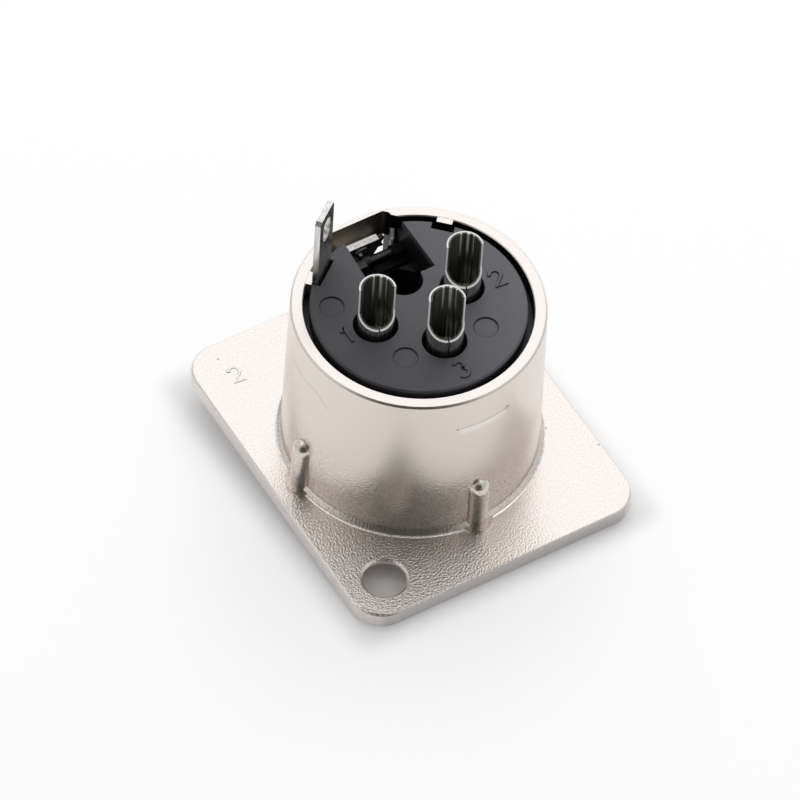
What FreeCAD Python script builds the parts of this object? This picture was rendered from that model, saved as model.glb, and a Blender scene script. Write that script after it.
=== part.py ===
import FreeCAD, Part
import math
import os
import re
import Sketcher

# Three-pole female panel socket with a latch, millimetres.
# The origin is on the barrel axis in the rear face of the flange, which seats on the panel.
# +Z points to the solder side, +Y to the latch and +X to contact 2.

SIZES = (
    ("flange_width", 26.0, "flange across X"),
    ("flange_height", 31.0, "flange across Y"),
    ("flange_thick", 1.55, "flange plate"),
    ("flange_corner", 2.8, "radius of the flange corners"),
    ("flange_edge", 0.15, "bevel of the flange rim"),
    ("hole_span_x", 19.0, "fixing holes apart along X"),
    ("hole_span_y", 24.0, "fixing holes apart along Y"),
    ("hole_radius", 1.8, "fixing hole"),
    ("sink_radius", 2.85, "countersink at the front face"),
    ("hole_bevel", 0.2, "bevel of the fixing hole at the rear face"),
    ("rear_depth", 3.9, "rear bore from the insert's shoulder to the rim"),
    ("barrel_height", "=plug_depth - flange_thick + rear_depth", "rear face of the flange to the rim"),
    ("barrel_rim_radius", 10.37, "barrel outside at the rim"),
    ("barrel_draft", 0.3, "how much larger the barrel is at its foot"),
    ("rim_bevel", 0.16, "bevel of the rim"),
    ("foot_proud", 0.3, "step of the barrel's foot beyond the barrel"),
    ("foot_height", 0.55, "height of that step"),
    ("foot_weld", 0.14, "shallow bevel between the step and the flange"),
    ("barrel_wall", 0.77, "wall of the barrel at its rim"),
    ("plug_bore_radius", "=barrel_rim_radius - barrel_wall", "bore that takes the plug's sleeve"),
    ("plug_depth", 14.05, "depth of that bore from the front face"),
    ("mouth_bevel", 0.5, "bevel at the mouth"),
    ("rear_lip", 0.27, "how much narrower the rear bore is"),
    ("rear_bore_radius", "=plug_bore_radius - rear_lip", "bore round the insert's disc"),
    ("key_reach", 0.47, "how far the two keys come in"),
    ("key_radius", "=rear_bore_radius - key_reach", "inner faces of the keys"),
    ("key_half_angle", 4.2, "half the width of a key"),
    ("key_right_angle", 46.0, "where the right key is"),
    ("key_left_angle", 133.0, "where the left key is"),
    ("key_drop", 0.02, "keys end this far below the rim"),
    ("key_height", 1.2, "length of the keys along the bore"),
    ("rib_radius", 0.95, "round ribs on the barrel's foot"),
    ("rib_circle", 10.5, "radius on which the ribs stand"),
    ("rib_left_angle", 182.0, "where the left rib stands"),
    ("rib_middle_angle", 270.0, "where the middle rib stands"),
    ("rib_right_angle", 0.0, "where the right rib stands"),
    ("rib_height", 4.5, "straight part of a rib"),
    ("rib_skirt", 0.45, "step round the foot of a rib"),
    ("slot_side", 0.6, "room beside the lever's shoulders"),
    ("slot_half", "=lever_shoulder_half + slot_side", "half the width of the latch slot in the barrel"),
    ("slot_bevel", 0.4, "bevelled corners of the slot's rear pocket"),
    ("slot_lip", 0.3, "bevel where the pocket meets the bore"),
    ("slot_reach", 0.25, "the pocket's outer wall beyond the plug bore"),
    ("slot_wall", "=plug_bore_radius + slot_reach", "distance from the axis to the pocket's outer wall"),
    ("slot_rise", 0.16, "how far above the pivot the slot is open outwards"),
    ("slot_top", "=pivot_height + slot_rise", "height up to which the slot is open outwards"),
    ("tab_slot_reach", 12.7, "how far the flange slot reaches along Y"),
    ("plug_space", 1.75, "room for the plug's sleeve round the nose"),
    ("nose_radius", "=plug_bore_radius - plug_space", "nose of the insert"),
    ("nose_back", 0.55, "nose ends this far behind the front face"),
    ("nose_bevel", 0.4, "bevel of the nose"),
    ("disc_gap", 0.05, "insert's disc in the rear bore"),
    ("disc_inset", 0.53, "upper step of the disc inside the rear bore"),
    ("disc_top_radius", "=rear_bore_radius - disc_inset", "upper step of the disc"),
    ("disc_step", 1.55, "height of that step"),
    ("disc_proud", 0.06, "disc beyond the rim"),
    ("disc_bevel", 0.15, "bevel round the disc"),
    ("notch_reach", 0.8, "how far the notches go into the disc's upper step"),
    ("notch_floor", "=disc_top_radius - notch_reach", "distance from the axis to the floor of the notches"),
    ("notch_half_width", 0.95, "half the width of the right notch"),
    ("notch_depth", 2.6, "depth of the notches"),
    ("keyway_half_width", 1.1, "half the width of the keyway in the nose"),
    ("keyway_depth", 0.6, "depth of the keyway"),
    ("keyway_length", 9.0, "length of the keyway"),
    ("recess_left", 2.45, "latch recess to the left of the axis"),
    ("recess_slant", 0.5, "how much narrower it is there at the disc's edge"),
    ("recess_right", 3.25, "latch recess to the right of the axis"),
    ("recess_inner", 2.9, "latch recess: distance of its inner edge"),
    ("recess_depth", 5.5, "deep part of the recess below the insert's shoulder"),
    ("recess_floor", "=plug_depth - flange_thick - recess_depth", "height of the floor of the deep part"),
    ("recess_wall", 1.1, "wall left between the deep part and the nose"),
    ("relief_radius", 1.62, "round relief at the recess's inner edge"),
    ("relief_shift", 0.25, "round relief to the right of the axis"),
    ("ejector_radius", 1.0, "ejector marks"),
    ("ejector_left_circle", 7.0, "left ejector mark from the axis"),
    ("ejector_left_angle", 152.0, "where that mark is"),
    ("ejector_middle_circle", 5.4, "middle ejector mark from the axis"),
    ("ejector_middle_angle", 228.0, "where that mark is"),
    ("ejector_right_circle", 5.75, "right ejector mark from the axis"),
    ("ejector_right_angle", 309.0, "where that mark is"),
    ("ejector_depth", 0.12, "depth of the ejector marks"),
    ("contact_circle", 4.04, "contacts from the axis"),
    ("contact_radius", 1.5, "rolled tube outside"),
    ("contact_wall", 0.28, "rolled sheet"),
    ("contact_length", 21.85, "contact from end to end"),
    ("contact_setback", 0.9, "contact ends this far behind the nose"),
    ("contact_lead", 0.65, "how much further forward contact 1 sits"),
    ("contact_turn", -20.0, "turn of the contacts about their own axes"),
    ("contact_gap", 0.06, "contact in its bore"),
    ("collar_gap", 0.11, "hole round the contact's collar"),
    ("contact_hole_radius", "=collar_radius + collar_gap", "hole round the collar and the solder cup"),
    ("collar_proud", 0.24, "collar beyond the contact's tube"),
    ("collar_radius", "=contact_radius + collar_proud", "collar of the contact"),
    ("collar_height", 0.6, "height of the collar"),
    ("collar_place", 11.2, "collar above the contact's front end"),
    ("socket_depth", 9.5, "depth of the contact's socket"),
    ("socket_slit", 0.3, "slits that let the socket spring"),
    ("socket_slit_length", 7.5, "length of the slits"),
    ("pin_lip", 0.1, "lip of the nose in front of the contact"),
    ("pin_hole_radius", "=contact_radius - pin_lip", "hole in the nose for the plug's pin"),
    ("seam_width", 0.12, "seam of the rolled sheet"),
    ("cup_depth", 6.6, "depth of the solder cup"),
    ("scoop_height", 3.0, "how far the cup is cut open at its sides"),
    ("scoop_drop", 0.9, "how much deeper the cut is at the seam"),
    ("tab_angle", 127.0, "where the ground tab stands"),
    ("tab_width", 2.8, "ground tab across"),
    ("tab_thick", 0.5, "ground tab sheet"),
    ("tab_top", 24.1, "top of the ground tab"),
    ("tab_gap", 0.12, "ground tab inside the left key"),
    ("tab_foot_half", 0.8, "half the width of the tab's folded foot"),
    ("tab_foot_height", 1.0, "height of the folded foot"),
    ("tab_corner", 0.3, "corners of the ground tab"),
    ("tab_slot_half", 0.7, "half the width of the wire slot"),
    ("tab_slot_length", 1.1, "straight part of the wire slot"),
    ("tab_slot_drop", 2.1, "middle of the wire slot below the top"),
    ("lever_thick", 0.6, "lever sheet"),
    ("lever_arm_gap", 0.02, "lever arm beyond the plug bore"),
    ("head_gap", 0.17, "lever's head inside the pocket's outer wall"),
    ("lever_head_place", "=slot_wall - head_gap - lever_thick", "inner face of the lever's head"),
    ("head_rise", 0.71, "rear end of the lever above the pivot"),
    ("lever_head_top", "=pivot_height + head_rise", "rear end of the lever"),
    ("jog_drop", 0.34, "start of the lever's step below the pivot"),
    ("lever_jog_top", "=pivot_height - jog_drop", "where the lever starts to step outwards"),
    ("lever_jog", 0.45, "height of that step"),
    ("lever_head_half", 1.75, "half the width of the head"),
    ("lever_shoulder_half", 2.2, "half the width of the shoulders"),
    ("lever_shoulder", 0.3, "height of the shoulders"),
    ("lever_waist_half", 1.3, "half the width of the arm's waist"),
    ("lever_arm_half", 1.65, "half the width of the arm in the flange"),
    ("waist_drop", 1.9, "top of the waist below the lever's step"),
    ("lever_waist_top", "=lever_jog_top - lever_jog - waist_drop", "top of the waist"),
    ("waist_rise", 1.4, "foot of the waist above the hook"),
    ("lever_waist_foot", "=hook_place + waist_rise", "foot of the waist"),
    ("lever_bend", 0.35, "inside radius of the bend to the push tab"),
    ("hook_place", 6.0, "locking face of the hook"),
    ("hook_depth", 1.05, "hook inwards from the arm"),
    ("hook_tip", 0.45, "flat tip of the hook"),
    ("hook_ramp", 1.5, "length of the hook's ramp"),
    ("hook_half", 1.3, "half the width of the hook"),
    ("push_gap", 1.4, "push tab in front of the flange"),
    ("push_half", 3.2, "half the width of the push tab"),
    ("push_reach", 12.9, "how far out the push tab reaches"),
    ("push_corner", 0.8, "corners of the push tab"),
    ("pivot_inset", 1.15, "pivot pin inside the lever's head"),
    ("pivot_place", "=lever_head_place - pivot_inset", "pivot pin from the axis"),
    ("pivot_rise", 0.79, "pivot pin above the insert's shoulder"),
    ("pivot_height", "=plug_depth - flange_thick + pivot_rise", "pivot pin above the flange"),
    ("pivot_radius", 0.4, "pivot pin"),
    ("pin_inset", 0.02, "ends of the pin inside the disc's edge"),
    ("pin_reach", "=(rear_bore_radius - disc_gap)^2 - (pivot_place + pivot_radius)^2",
     "square of the way from the axis to the disc's edge along the pin"),
    ("pivot_half", "=sqrt(pin_reach) - pin_inset", "half the length of the pivot pin"),
    ("pivot_gap", 0.04, "ears of the lever on the pin"),
    ("ear_radius", 0.7, "round end of the lever's ears"),
    ("ear_place", 1.92, "left face of the left ear, to the left of the axis"),
    ("coil_gap", 0.03, "coil beside the lever's ears"),
    ("ear_space", "=coil_pitch * coil_turns + 2 * wire_radius + 3 * coil_gap", "space between the two ears"),
    ("wire_radius", 0.15, "spring wire"),
    ("wire_flats", 12.0, "flats that the round wire is drawn with"),
    ("coil_radius", 0.62, "mean radius of the spring's coil"),
    ("coil_start", "=ear_place - lever_thick - ear_space + wire_radius + coil_gap",
     "right end of the coil, to the left of the axis"),
    ("coil_turns", "=1.5 - foot_lean / 360", "turns of the coil"),
    ("coil_step", 45.0, "angle between the straight pieces that the coil and the bend are drawn from"),
    ("coil_pitch", 0.34, "pitch of the coil"),
    ("spring_leg", 2.3, "straight leg of the spring above the pin"),
    ("foot_lean", 28.0, "lean of the spring's foot towards the lever's head"),
    ("toe_gap", 0.02, "spring's foot beside the lever's head"),
    ("spring_bend", 0.3, "bend of the wire to the foot"),
    ("spring_toe", 0.75, "straight part of the foot, which lies on the lever's head"),
    ("post_width", 1.5, "post in the recess that the spring leans on"),
    ("post_thick", 0.8, "the same along Y"),
    ("post_height", 2.6, "the same above the nose's shoulder"),
    ("post_gap", 0.02, "spring's leg beside the post"),
    ("cut_extra", 0.5, "how far cuts run past the faces"),
)

doc = FreeCAD.newDocument("panel_socket")
sheet = doc.addObject("Spreadsheet::Sheet", "Sizes")
for row, (alias, size, meaning) in enumerate(SIZES, start=1):
    sheet.set(f"A{row}", alias)
    sheet.setAlias(f"B{row}", alias)
    sheet.set(f"C{row}", meaning)
for row, (alias, size, meaning) in enumerate(SIZES, start=1):
    sheet.set(f"B{row}", str(size))
doc.recompute()


def bound(text):
    """Write the plain names in an expression as cells of the sheet."""
    return re.sub(r"[a-z]+(_[a-z]+)+", r"Sizes.\g<0>", text)


def value(text):
    """Work an expression out to a number of millimetres or degrees."""
    return float(sheet.evalExpression(bound(text)))


# Heights that several pieces share, as expressions on the sheet.
FRONT = "(0 - flange_thick)"
NOSE = f"({FRONT} + nose_back)"
SHOULDER = f"({FRONT} + plug_depth)"
DISC_TOP = "(barrel_height + disc_proud)"
ARM_IN = "(plug_bore_radius + lever_arm_gap)"
ARM_OUT = f"({ARM_IN} + lever_thick)"
PUSH_BACK = f"({FRONT} - push_gap)"
PUSH_FRONT = f"({PUSH_BACK} - lever_thick)"


def new_body(name):
    """Start the body of one sub-part, labelled with its node's name."""
    body = doc.addObject("PartDesign::Body", name)
    body.Label = name
    return body


def new_sketch(body, name, role, lift="0"):
    """Attach a sketch to one of the body's origin planes, lifted along the plane's normal."""
    sketch = body.newObject("Sketcher::SketchObject", f"{body.Name}_{name}")
    plane = next(item for item in body.Origin.OriginFeatures if item.Role == role)
    sketch.AttachmentSupport = [(plane, "")]
    sketch.MapMode = "FlatFace"
    sketch.setExpression("AttachmentOffset.Base.z", bound(lift))
    return sketch


def polygon(sketch, corners):
    """Draw a closed outline whose corners are bound to the sheet."""
    first = sketch.GeometryCount
    count = len(corners)
    places = [FreeCAD.Vector(value(x), value(y), 0) for x, y in corners]
    for k in range(count):
        sketch.addGeometry(Part.LineSegment(places[k], places[(k + 1) % count]))
    for k in range(count):
        following = first + (k + 1) % count
        sketch.addConstraint(Sketcher.Constraint("Coincident", first + k, 2, following, 1))
    for k, (x, y) in enumerate(corners):
        for kind, text, size in (("DistanceX", x, places[k].x), ("DistanceY", y, places[k].y)):
            index = sketch.addConstraint(Sketcher.Constraint(kind, -1, 1, first + k, 1, size))
            sketch.setExpression(f"Constraints[{index}]", bound(text))
    return sketch


def circle(sketch, x, y, radius):
    """Draw a circle whose centre and radius are bound to the sheet."""
    centre = FreeCAD.Vector(value(x), value(y), 0)
    normal = FreeCAD.Vector(0, 0, 1)
    index = sketch.addGeometry(Part.Circle(centre, normal, value(radius)))
    for kind, text, size in (("DistanceX", x, centre.x), ("DistanceY", y, centre.y)):
        place = sketch.addConstraint(Sketcher.Constraint(kind, -1, 1, index, 3, size))
        sketch.setExpression(f"Constraints[{place}]", bound(text))
    width = sketch.addConstraint(Sketcher.Constraint("Radius", index, value(radius)))
    sketch.setExpression(f"Constraints[{width}]", bound(radius))
    return sketch


def extrude(body, kind, sketch, length, reverse=False, both=False):
    """Pad or pocket a sketch by a length bound to the sheet."""
    feature = body.newObject(f"PartDesign::{kind}", f"{sketch.Name}_{kind.lower()}")
    feature.Profile = sketch
    feature.Reversed = reverse
    if both:
        feature.SideType = "Symmetric"
    feature.setExpression("Length", bound(length))
    doc.recompute()
    return feature


def turn(body, kind, sketch):
    """Revolve or groove a sketch on the XZ plane about the Z axis."""
    feature = body.newObject(f"PartDesign::{kind}", f"{sketch.Name}_{kind.lower()}")
    feature.Profile = sketch
    feature.ReferenceAxis = (sketch, ["V_Axis"])
    feature.Angle = 360
    doc.recompute()
    return feature


def edge_names(feature, wanted):
    """Name the edges of a feature that pass a test of their middle and direction."""
    names = []
    for number, edge in enumerate(feature.Shape.Edges, start=1):
        middle = edge.valueAt((edge.FirstParameter + edge.LastParameter) / 2)
        if wanted(edge, middle):
            names.append(f"Edge{number}")
    return names


def soften(body, kind, base, names, size):
    """Fillet or chamfer named edges of a feature."""
    feature = body.newObject(f"PartDesign::{kind}", f"{base.Name}_{kind.lower()}")
    feature.Base = (base, names)
    feature.setExpression("Radius" if kind == "Fillet" else "Size", bound(size))
    doc.recompute()
    return feature


def around(angle, radius):
    """Give the X and Y expressions of a point on a circle about the axis."""
    return f"({radius}) * cos({angle})", f"({radius}) * sin({angle})"


def strip(angle, near, far, half):
    """Give the corners of a strip that lies across a radius at an angle."""
    corners = []
    for out, side in ((near, "-1"), (far, "-1"), (far, "1"), (near, "1")):
        x = f"({out}) * cos({angle}) - {side} * ({half}) * sin({angle})"
        y = f"({out}) * sin({angle}) + {side} * ({half}) * cos({angle})"
        corners.append((x, y))
    return corners


def add_rib(body, name, angle):
    """Stand a round-topped rib against the barrel's foot."""
    x, y = around(angle, "rib_circle")
    rib = body.newObject("PartDesign::AdditiveCylinder", f"{name}_shaft")
    rib.setExpression("Radius", bound("rib_radius"))
    rib.setExpression("Height", bound("rib_height"))
    cap = body.newObject("PartDesign::AdditiveSphere", f"{name}_cap")
    cap.setExpression("Radius", bound("rib_radius"))
    skirt = body.newObject("PartDesign::AdditiveCylinder", f"{name}_skirt")
    skirt.setExpression("Radius", bound("rib_radius + rib_skirt"))
    skirt.setExpression("Height", bound("foot_height - foot_proud"))
    for feature, height in ((rib, "0"), (cap, "rib_height"), (skirt, "0")):
        feature.setExpression("Placement.Base.x", bound(x))
        feature.setExpression("Placement.Base.y", bound(y))
        feature.setExpression("Placement.Base.z", bound(height))
    doc.recompute()


def build_shell():
    """Cast shell: flange, drafted barrel, bores, keys, ribs and the latch slot."""
    body = new_body("shell")
    half_x = "flange_width / 2"
    half_y = "flange_height / 2"
    plate = new_sketch(body, "plate", "XY_Plane")
    polygon(plate, [(f"0 - {half_x}", f"0 - {half_y}"), (half_x, f"0 - {half_y}"),
                    (half_x, half_y), (f"0 - {half_x}", half_y)])
    flange = extrude(body, "Pad", plate, "flange_thick", reverse=True)
    upright = edge_names(flange, lambda edge, middle: abs(edge.tangentAt(edge.FirstParameter).z) > 0.9)
    flange = soften(body, "Fillet", flange, upright, "flange_corner")
    front = value(FRONT)
    rim = edge_names(flange, lambda edge, middle: min(abs(middle.z), abs(middle.z - front)) < 0.01)
    soften(body, "Chamfer", flange, rim, "flange_edge")

    foot = "(barrel_rim_radius + barrel_draft)"
    barrel = new_sketch(body, "barrel", "XZ_Plane")
    polygon(barrel, [("0", f"{FRONT} / 2"), (f"{foot} + foot_proud + foot_weld", f"{FRONT} / 2"),
                     (f"{foot} + foot_proud + foot_weld", "0"), (f"{foot} + foot_proud", "foot_weld / 3"),
                     (f"{foot} + foot_proud", "foot_height - foot_proud"), (foot, "foot_height"),
                     ("barrel_rim_radius", "barrel_height - rim_bevel"),
                     ("barrel_rim_radius - rim_bevel", "barrel_height"), ("0", "barrel_height")])
    turn(body, "Revolution", barrel)
    for side in ("left", "middle", "right"):
        add_rib(body, f"{side}_rib", f"rib_{side}_angle")

    bore = new_sketch(body, "bore", "XZ_Plane")
    polygon(bore, [("0", f"{FRONT} - cut_extra"),
                   ("plug_bore_radius + mouth_bevel + cut_extra", f"{FRONT} - cut_extra"),
                   ("plug_bore_radius", f"{FRONT} + mouth_bevel"), ("plug_bore_radius", SHOULDER),
                   ("rear_bore_radius", SHOULDER), ("rear_bore_radius", "barrel_height - rim_bevel / 2"),
                   ("rear_bore_radius + rim_bevel / 2 + cut_extra", "barrel_height + cut_extra"),
                   ("0", "barrel_height + cut_extra")])
    turn(body, "Groove", bore)

    for name, angle in (("key_right", "key_right_angle"), ("key_left", "key_left_angle")):
        width = "key_radius * sin(key_half_angle)"
        key = new_sketch(body, name, "XY_Plane", "barrel_height - key_drop")
        polygon(key, strip(angle, "key_radius", "rear_bore_radius + cut_extra", width))
        extrude(body, "Pad", key, "key_height", reverse=True)

    pocket = new_sketch(body, "latch_pocket", "XY_Plane", "slot_top")
    inner = "plug_bore_radius - slot_half"
    mouth = "sqrt(rear_bore_radius^2 - slot_half^2)"
    side = [("slot_half", inner), ("slot_half + 2 * slot_lip", f"{mouth} - slot_lip"),
            ("slot_half", f"{mouth} + slot_lip"), ("slot_half", "slot_wall - slot_bevel"),
            ("slot_half - slot_bevel", "slot_wall")]
    polygon(pocket, side + [(f"0 - ({x})", y) for x, y in reversed(side)])
    extrude(body, "Pocket", pocket, "barrel_height - slot_top + cut_extra", reverse=True)
    window = new_sketch(body, "latch_window", "XY_Plane")
    reach = "barrel_rim_radius + barrel_draft + foot_proud + cut_extra"
    polygon(window, [("0 - slot_half", inner), ("slot_half", inner),
                     ("slot_half", reach), ("0 - slot_half", reach)])
    extrude(body, "Pocket", window, "slot_top", reverse=True)
    slot = new_sketch(body, "flange_slot", "XY_Plane", "cut_extra")
    side = "lever_arm_half + (slot_half - lever_shoulder_half)"
    polygon(slot, [(f"0 - ({side})", inner), (side, inner),
                   (side, "tab_slot_reach"), (f"0 - ({side})", "tab_slot_reach")])
    extrude(body, "Pocket", slot, "flange_thick + 2 * cut_extra")

    for name, sign in (("upper", ""), ("lower", "0 - ")):
        x = f"{sign}hole_span_x / 2"
        y = f"{sign}hole_span_y / 2"
        hole = new_sketch(body, f"{name}_hole", "XY_Plane", "cut_extra")
        circle(hole, x, y, "hole_radius")
        extrude(body, "Pocket", hole, "flange_thick + 2 * cut_extra")
        sink = body.newObject("PartDesign::SubtractiveCone", f"{name}_sink")
        sink.setExpression("Radius1", bound("sink_radius"))
        sink.setExpression("Radius2", bound("hole_radius"))
        sink.setExpression("Height", bound("sink_radius - hole_radius"))
        lip = body.newObject("PartDesign::SubtractiveCone", f"{name}_lip")
        lip.setExpression("Radius1", bound("hole_radius"))
        lip.setExpression("Radius2", bound("hole_radius + hole_bevel"))
        lip.setExpression("Height", bound("hole_bevel"))
        for feature, height in ((sink, FRONT), (lip, "0 - hole_bevel")):
            feature.setExpression("Placement.Base.x", bound(x))
            feature.setExpression("Placement.Base.y", bound(y))
            feature.setExpression("Placement.Base.z", bound(height))
        doc.recompute()
    return body


CONTACTS = (
    ("contact_1", "0 - contact_circle", "0", "contact_lead"),
    ("contact_2", "contact_circle", "0", "0 * contact_lead"),
    ("contact_3", "0", "0 - contact_circle", "0 * contact_lead"),
)


def contact_front(lead):
    """Give the height of a contact's front end."""
    return f"({NOSE} + contact_setback - {lead})"


def build_insert():
    """Moulded insulator: nose, disc, contact bores, latch recess and notches."""
    body = new_body("insert")
    disc = "(rear_bore_radius - disc_gap)"
    step = f"({DISC_TOP} - disc_step)"
    profile = new_sketch(body, "profile", "XZ_Plane")
    polygon(profile, [("0", NOSE), ("nose_radius - nose_bevel", NOSE), ("nose_radius", f"{NOSE} + nose_bevel"),
                      ("nose_radius", SHOULDER), (disc, SHOULDER), (disc, step),
                      ("disc_top_radius", step), ("disc_top_radius", f"{DISC_TOP} - disc_bevel"),
                      ("disc_top_radius - disc_bevel", DISC_TOP), ("0", DISC_TOP)])
    turn(body, "Revolution", profile)

    outside = "rear_bore_radius + cut_extra"
    upper = new_sketch(body, "recess", "XY_Plane", f"{DISC_TOP} + cut_extra")
    polygon(upper, [("0 - recess_left", "recess_inner"), ("recess_right", "recess_inner"),
                    ("recess_right", outside), ("recess_slant - recess_left", outside)])
    extrude(body, "Pocket", upper, f"{DISC_TOP} - {SHOULDER} + cut_extra")
    lower = new_sketch(body, "deep_recess", "XY_Plane", f"{SHOULDER} + cut_extra")
    wall = "nose_radius - recess_wall"
    polygon(lower, [("0 - recess_left", "recess_inner"), ("recess_right", "recess_inner"),
                    ("recess_right", f"{wall} - recess_wall"), ("recess_right - recess_wall", wall),
                    ("recess_wall - recess_left", wall), ("0 - recess_left", f"{wall} - recess_wall")])
    extrude(body, "Pocket", lower, f"{SHOULDER} - recess_floor + cut_extra")
    relief = new_sketch(body, "relief", "XY_Plane", f"{DISC_TOP} + cut_extra")
    circle(relief, "relief_shift", "recess_inner", "relief_radius")
    extrude(body, "Pocket", relief, f"{DISC_TOP} - recess_floor + cut_extra")
    post = new_sketch(body, "spring_post", "XY_Plane", SHOULDER)
    post_out = "(pivot_place - coil_radius - wire_radius - post_gap)"
    polygon(post, [("post_width - recess_left", f"{post_out} - post_thick"),
                   ("post_width - recess_left", post_out), ("0 - recess_left - cut_extra", post_out),
                   ("0 - recess_left - cut_extra", f"{post_out} - post_thick")])
    extrude(body, "Pad", post, "post_height")

    right = new_sketch(body, "right_notch", "XY_Plane", f"{DISC_TOP} + cut_extra")
    polygon(right, strip("key_right_angle", "notch_floor", outside, "notch_half_width"))
    extrude(body, "Pocket", right, "notch_depth + cut_extra")
    left = new_sketch(body, "left_notch", "XY_Plane", f"{DISC_TOP} + cut_extra")
    polygon(left, strip("tab_angle", "notch_floor", outside, "tab_width / 2 + disc_gap"))
    extrude(body, "Pocket", left, "notch_depth + cut_extra")
    keyway = new_sketch(body, "keyway", "XY_Plane", f"{NOSE} - cut_extra")
    polygon(keyway, [("0 - keyway_half_width", "nose_radius - keyway_depth"),
                     ("keyway_half_width", "nose_radius - keyway_depth"),
                     ("keyway_half_width", "nose_radius + cut_extra"),
                     ("0 - keyway_half_width", "nose_radius + cut_extra")])
    extrude(body, "Pocket", keyway, "keyway_length + cut_extra", reverse=True)

    for name, x, y, lead in CONTACTS:
        end = contact_front(lead)
        seat = f"({end} + collar_place)"
        for part, radius, floor in (("cup", "contact_hole_radius", seat),
                                    ("tube", "contact_radius + contact_gap", end),
                                    ("pin", "pin_hole_radius", f"({NOSE} - cut_extra)")):
            hole = new_sketch(body, f"{part}_hole_{name[-1]}", "XY_Plane", f"{DISC_TOP} + cut_extra")
            circle(hole, x, y, radius)
            extrude(body, "Pocket", hole, f"{DISC_TOP} + cut_extra - {floor}")
    marks = new_sketch(body, "ejector_marks", "XY_Plane", DISC_TOP)
    for side in ("left", "middle", "right"):
        x, y = around(f"ejector_{side}_angle", f"ejector_{side}_circle")
        circle(marks, x, y, "ejector_radius")
    extrude(body, "Pocket", marks, "ejector_depth")
    cross = new_sketch(body, "pin_hole", "YZ_Plane")
    circle(cross, "pivot_place", "pivot_height", "pivot_radius")
    extrude(body, "Pocket", cross, "2 * rear_bore_radius", both=True)
    return body


def build_contact(name, x, y, lead):
    """Rolled contact: slit socket in front, collar, solder cup with an open seam behind."""
    body = new_body(name)
    inner = "(contact_radius - contact_wall)"
    cup_floor = "(contact_length - cup_depth)"
    profile = new_sketch(body, "profile", "XZ_Plane")
    polygon(profile, [("0", "socket_depth"), (inner, "socket_depth"), (inner, "0"),
                      ("contact_radius - contact_wall / 2", "0"), ("contact_radius", "contact_wall / 2"),
                      ("contact_radius", "collar_place"), ("collar_radius", "collar_place"),
                      ("collar_radius", "collar_place + collar_height"),
                      ("contact_radius", "collar_place + collar_height"),
                      ("contact_radius", "contact_length"), (inner, "contact_length"),
                      (inner, f"{cup_floor} + contact_wall"), ("0", cup_floor)])
    turn(body, "Revolution", profile)
    top = "contact_length + cut_extra"
    side = "contact_length - scoop_height"
    scoop = new_sketch(body, "scoop", "YZ_Plane")
    polygon(scoop, [("0", top), ("0", side), ("0 - contact_radius - cut_extra", f"{side} - scoop_drop"),
                    ("0 - contact_radius - cut_extra", top)])
    extrude(body, "Pocket", scoop, "4 * contact_radius", both=True)
    for part, width, low, high in (("seam", "seam_width", f"{cup_floor} - contact_wall", top),
                                   ("slit", "socket_slit", "0 - cut_extra", "socket_slit_length")):
        cut = new_sketch(body, part, "XZ_Plane")
        polygon(cut, [(f"0 - {width} / 2", low), (f"{width} / 2", low),
                      (f"{width} / 2", high), (f"0 - {width} / 2", high)])
        extrude(body, "Pocket", cut, "contact_radius + cut_extra", reverse=True)
    body.setExpression("Placement.Base.x", bound(x))
    body.setExpression("Placement.Base.y", bound(y))
    body.setExpression("Placement.Base.z", bound(contact_front(lead)))
    body.setExpression("Placement.Rotation.Angle", bound("contact_turn"))
    return body


def build_ground_tab():
    """Stamped solder tab with a wire slot, standing in the left notch."""
    body = new_body("ground_tab")
    foot = f"({DISC_TOP} - notch_depth)"
    half = "tab_width / 2"
    inner = "(key_radius - tab_gap - tab_thick)"
    blank = new_sketch(body, "blank", "YZ_Plane", inner)
    polygon(blank, [(f"0 - {half}", foot), (half, foot), (half, "tab_top - tab_corner"),
                    (f"{half} - tab_corner", "tab_top"), (f"tab_corner - {half}", "tab_top"),
                    (f"0 - {half}", "tab_top - tab_corner")])
    extrude(body, "Pad", blank, "tab_thick")
    fold = new_sketch(body, "folded_foot", "YZ_Plane", "key_radius - tab_gap")
    polygon(fold, [("0 - tab_foot_half", foot), ("tab_foot_half", foot),
                   ("tab_foot_half", f"{foot} + tab_foot_height"),
                   ("0 - tab_foot_half", f"{foot} + tab_foot_height")])
    extrude(body, "Pad", fold, "sqrt(rear_bore_radius^2 - tab_foot_half^2) - key_radius + tab_gap")
    middle = "(tab_top - tab_slot_drop)"
    slot = new_sketch(body, "wire_slot", "YZ_Plane", inner)
    polygon(slot, [("0 - tab_slot_half", f"{middle} - tab_slot_length / 2"),
                   ("tab_slot_half", f"{middle} - tab_slot_length / 2"),
                   ("tab_slot_half", f"{middle} + tab_slot_length / 2"),
                   ("0 - tab_slot_half", f"{middle} + tab_slot_length / 2")])
    extrude(body, "Pocket", slot, "tab_thick", reverse=True)
    for name, sign in (("upper_end", "+"), ("lower_end", "-")):
        end = new_sketch(body, name, "YZ_Plane", inner)
        circle(end, "0", f"{middle} {sign} tab_slot_length / 2", "tab_slot_half")
        extrude(body, "Pocket", end, "tab_thick", reverse=True)
    body.setExpression("Placement.Rotation.Angle", bound("tab_angle"))
    return body


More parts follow.
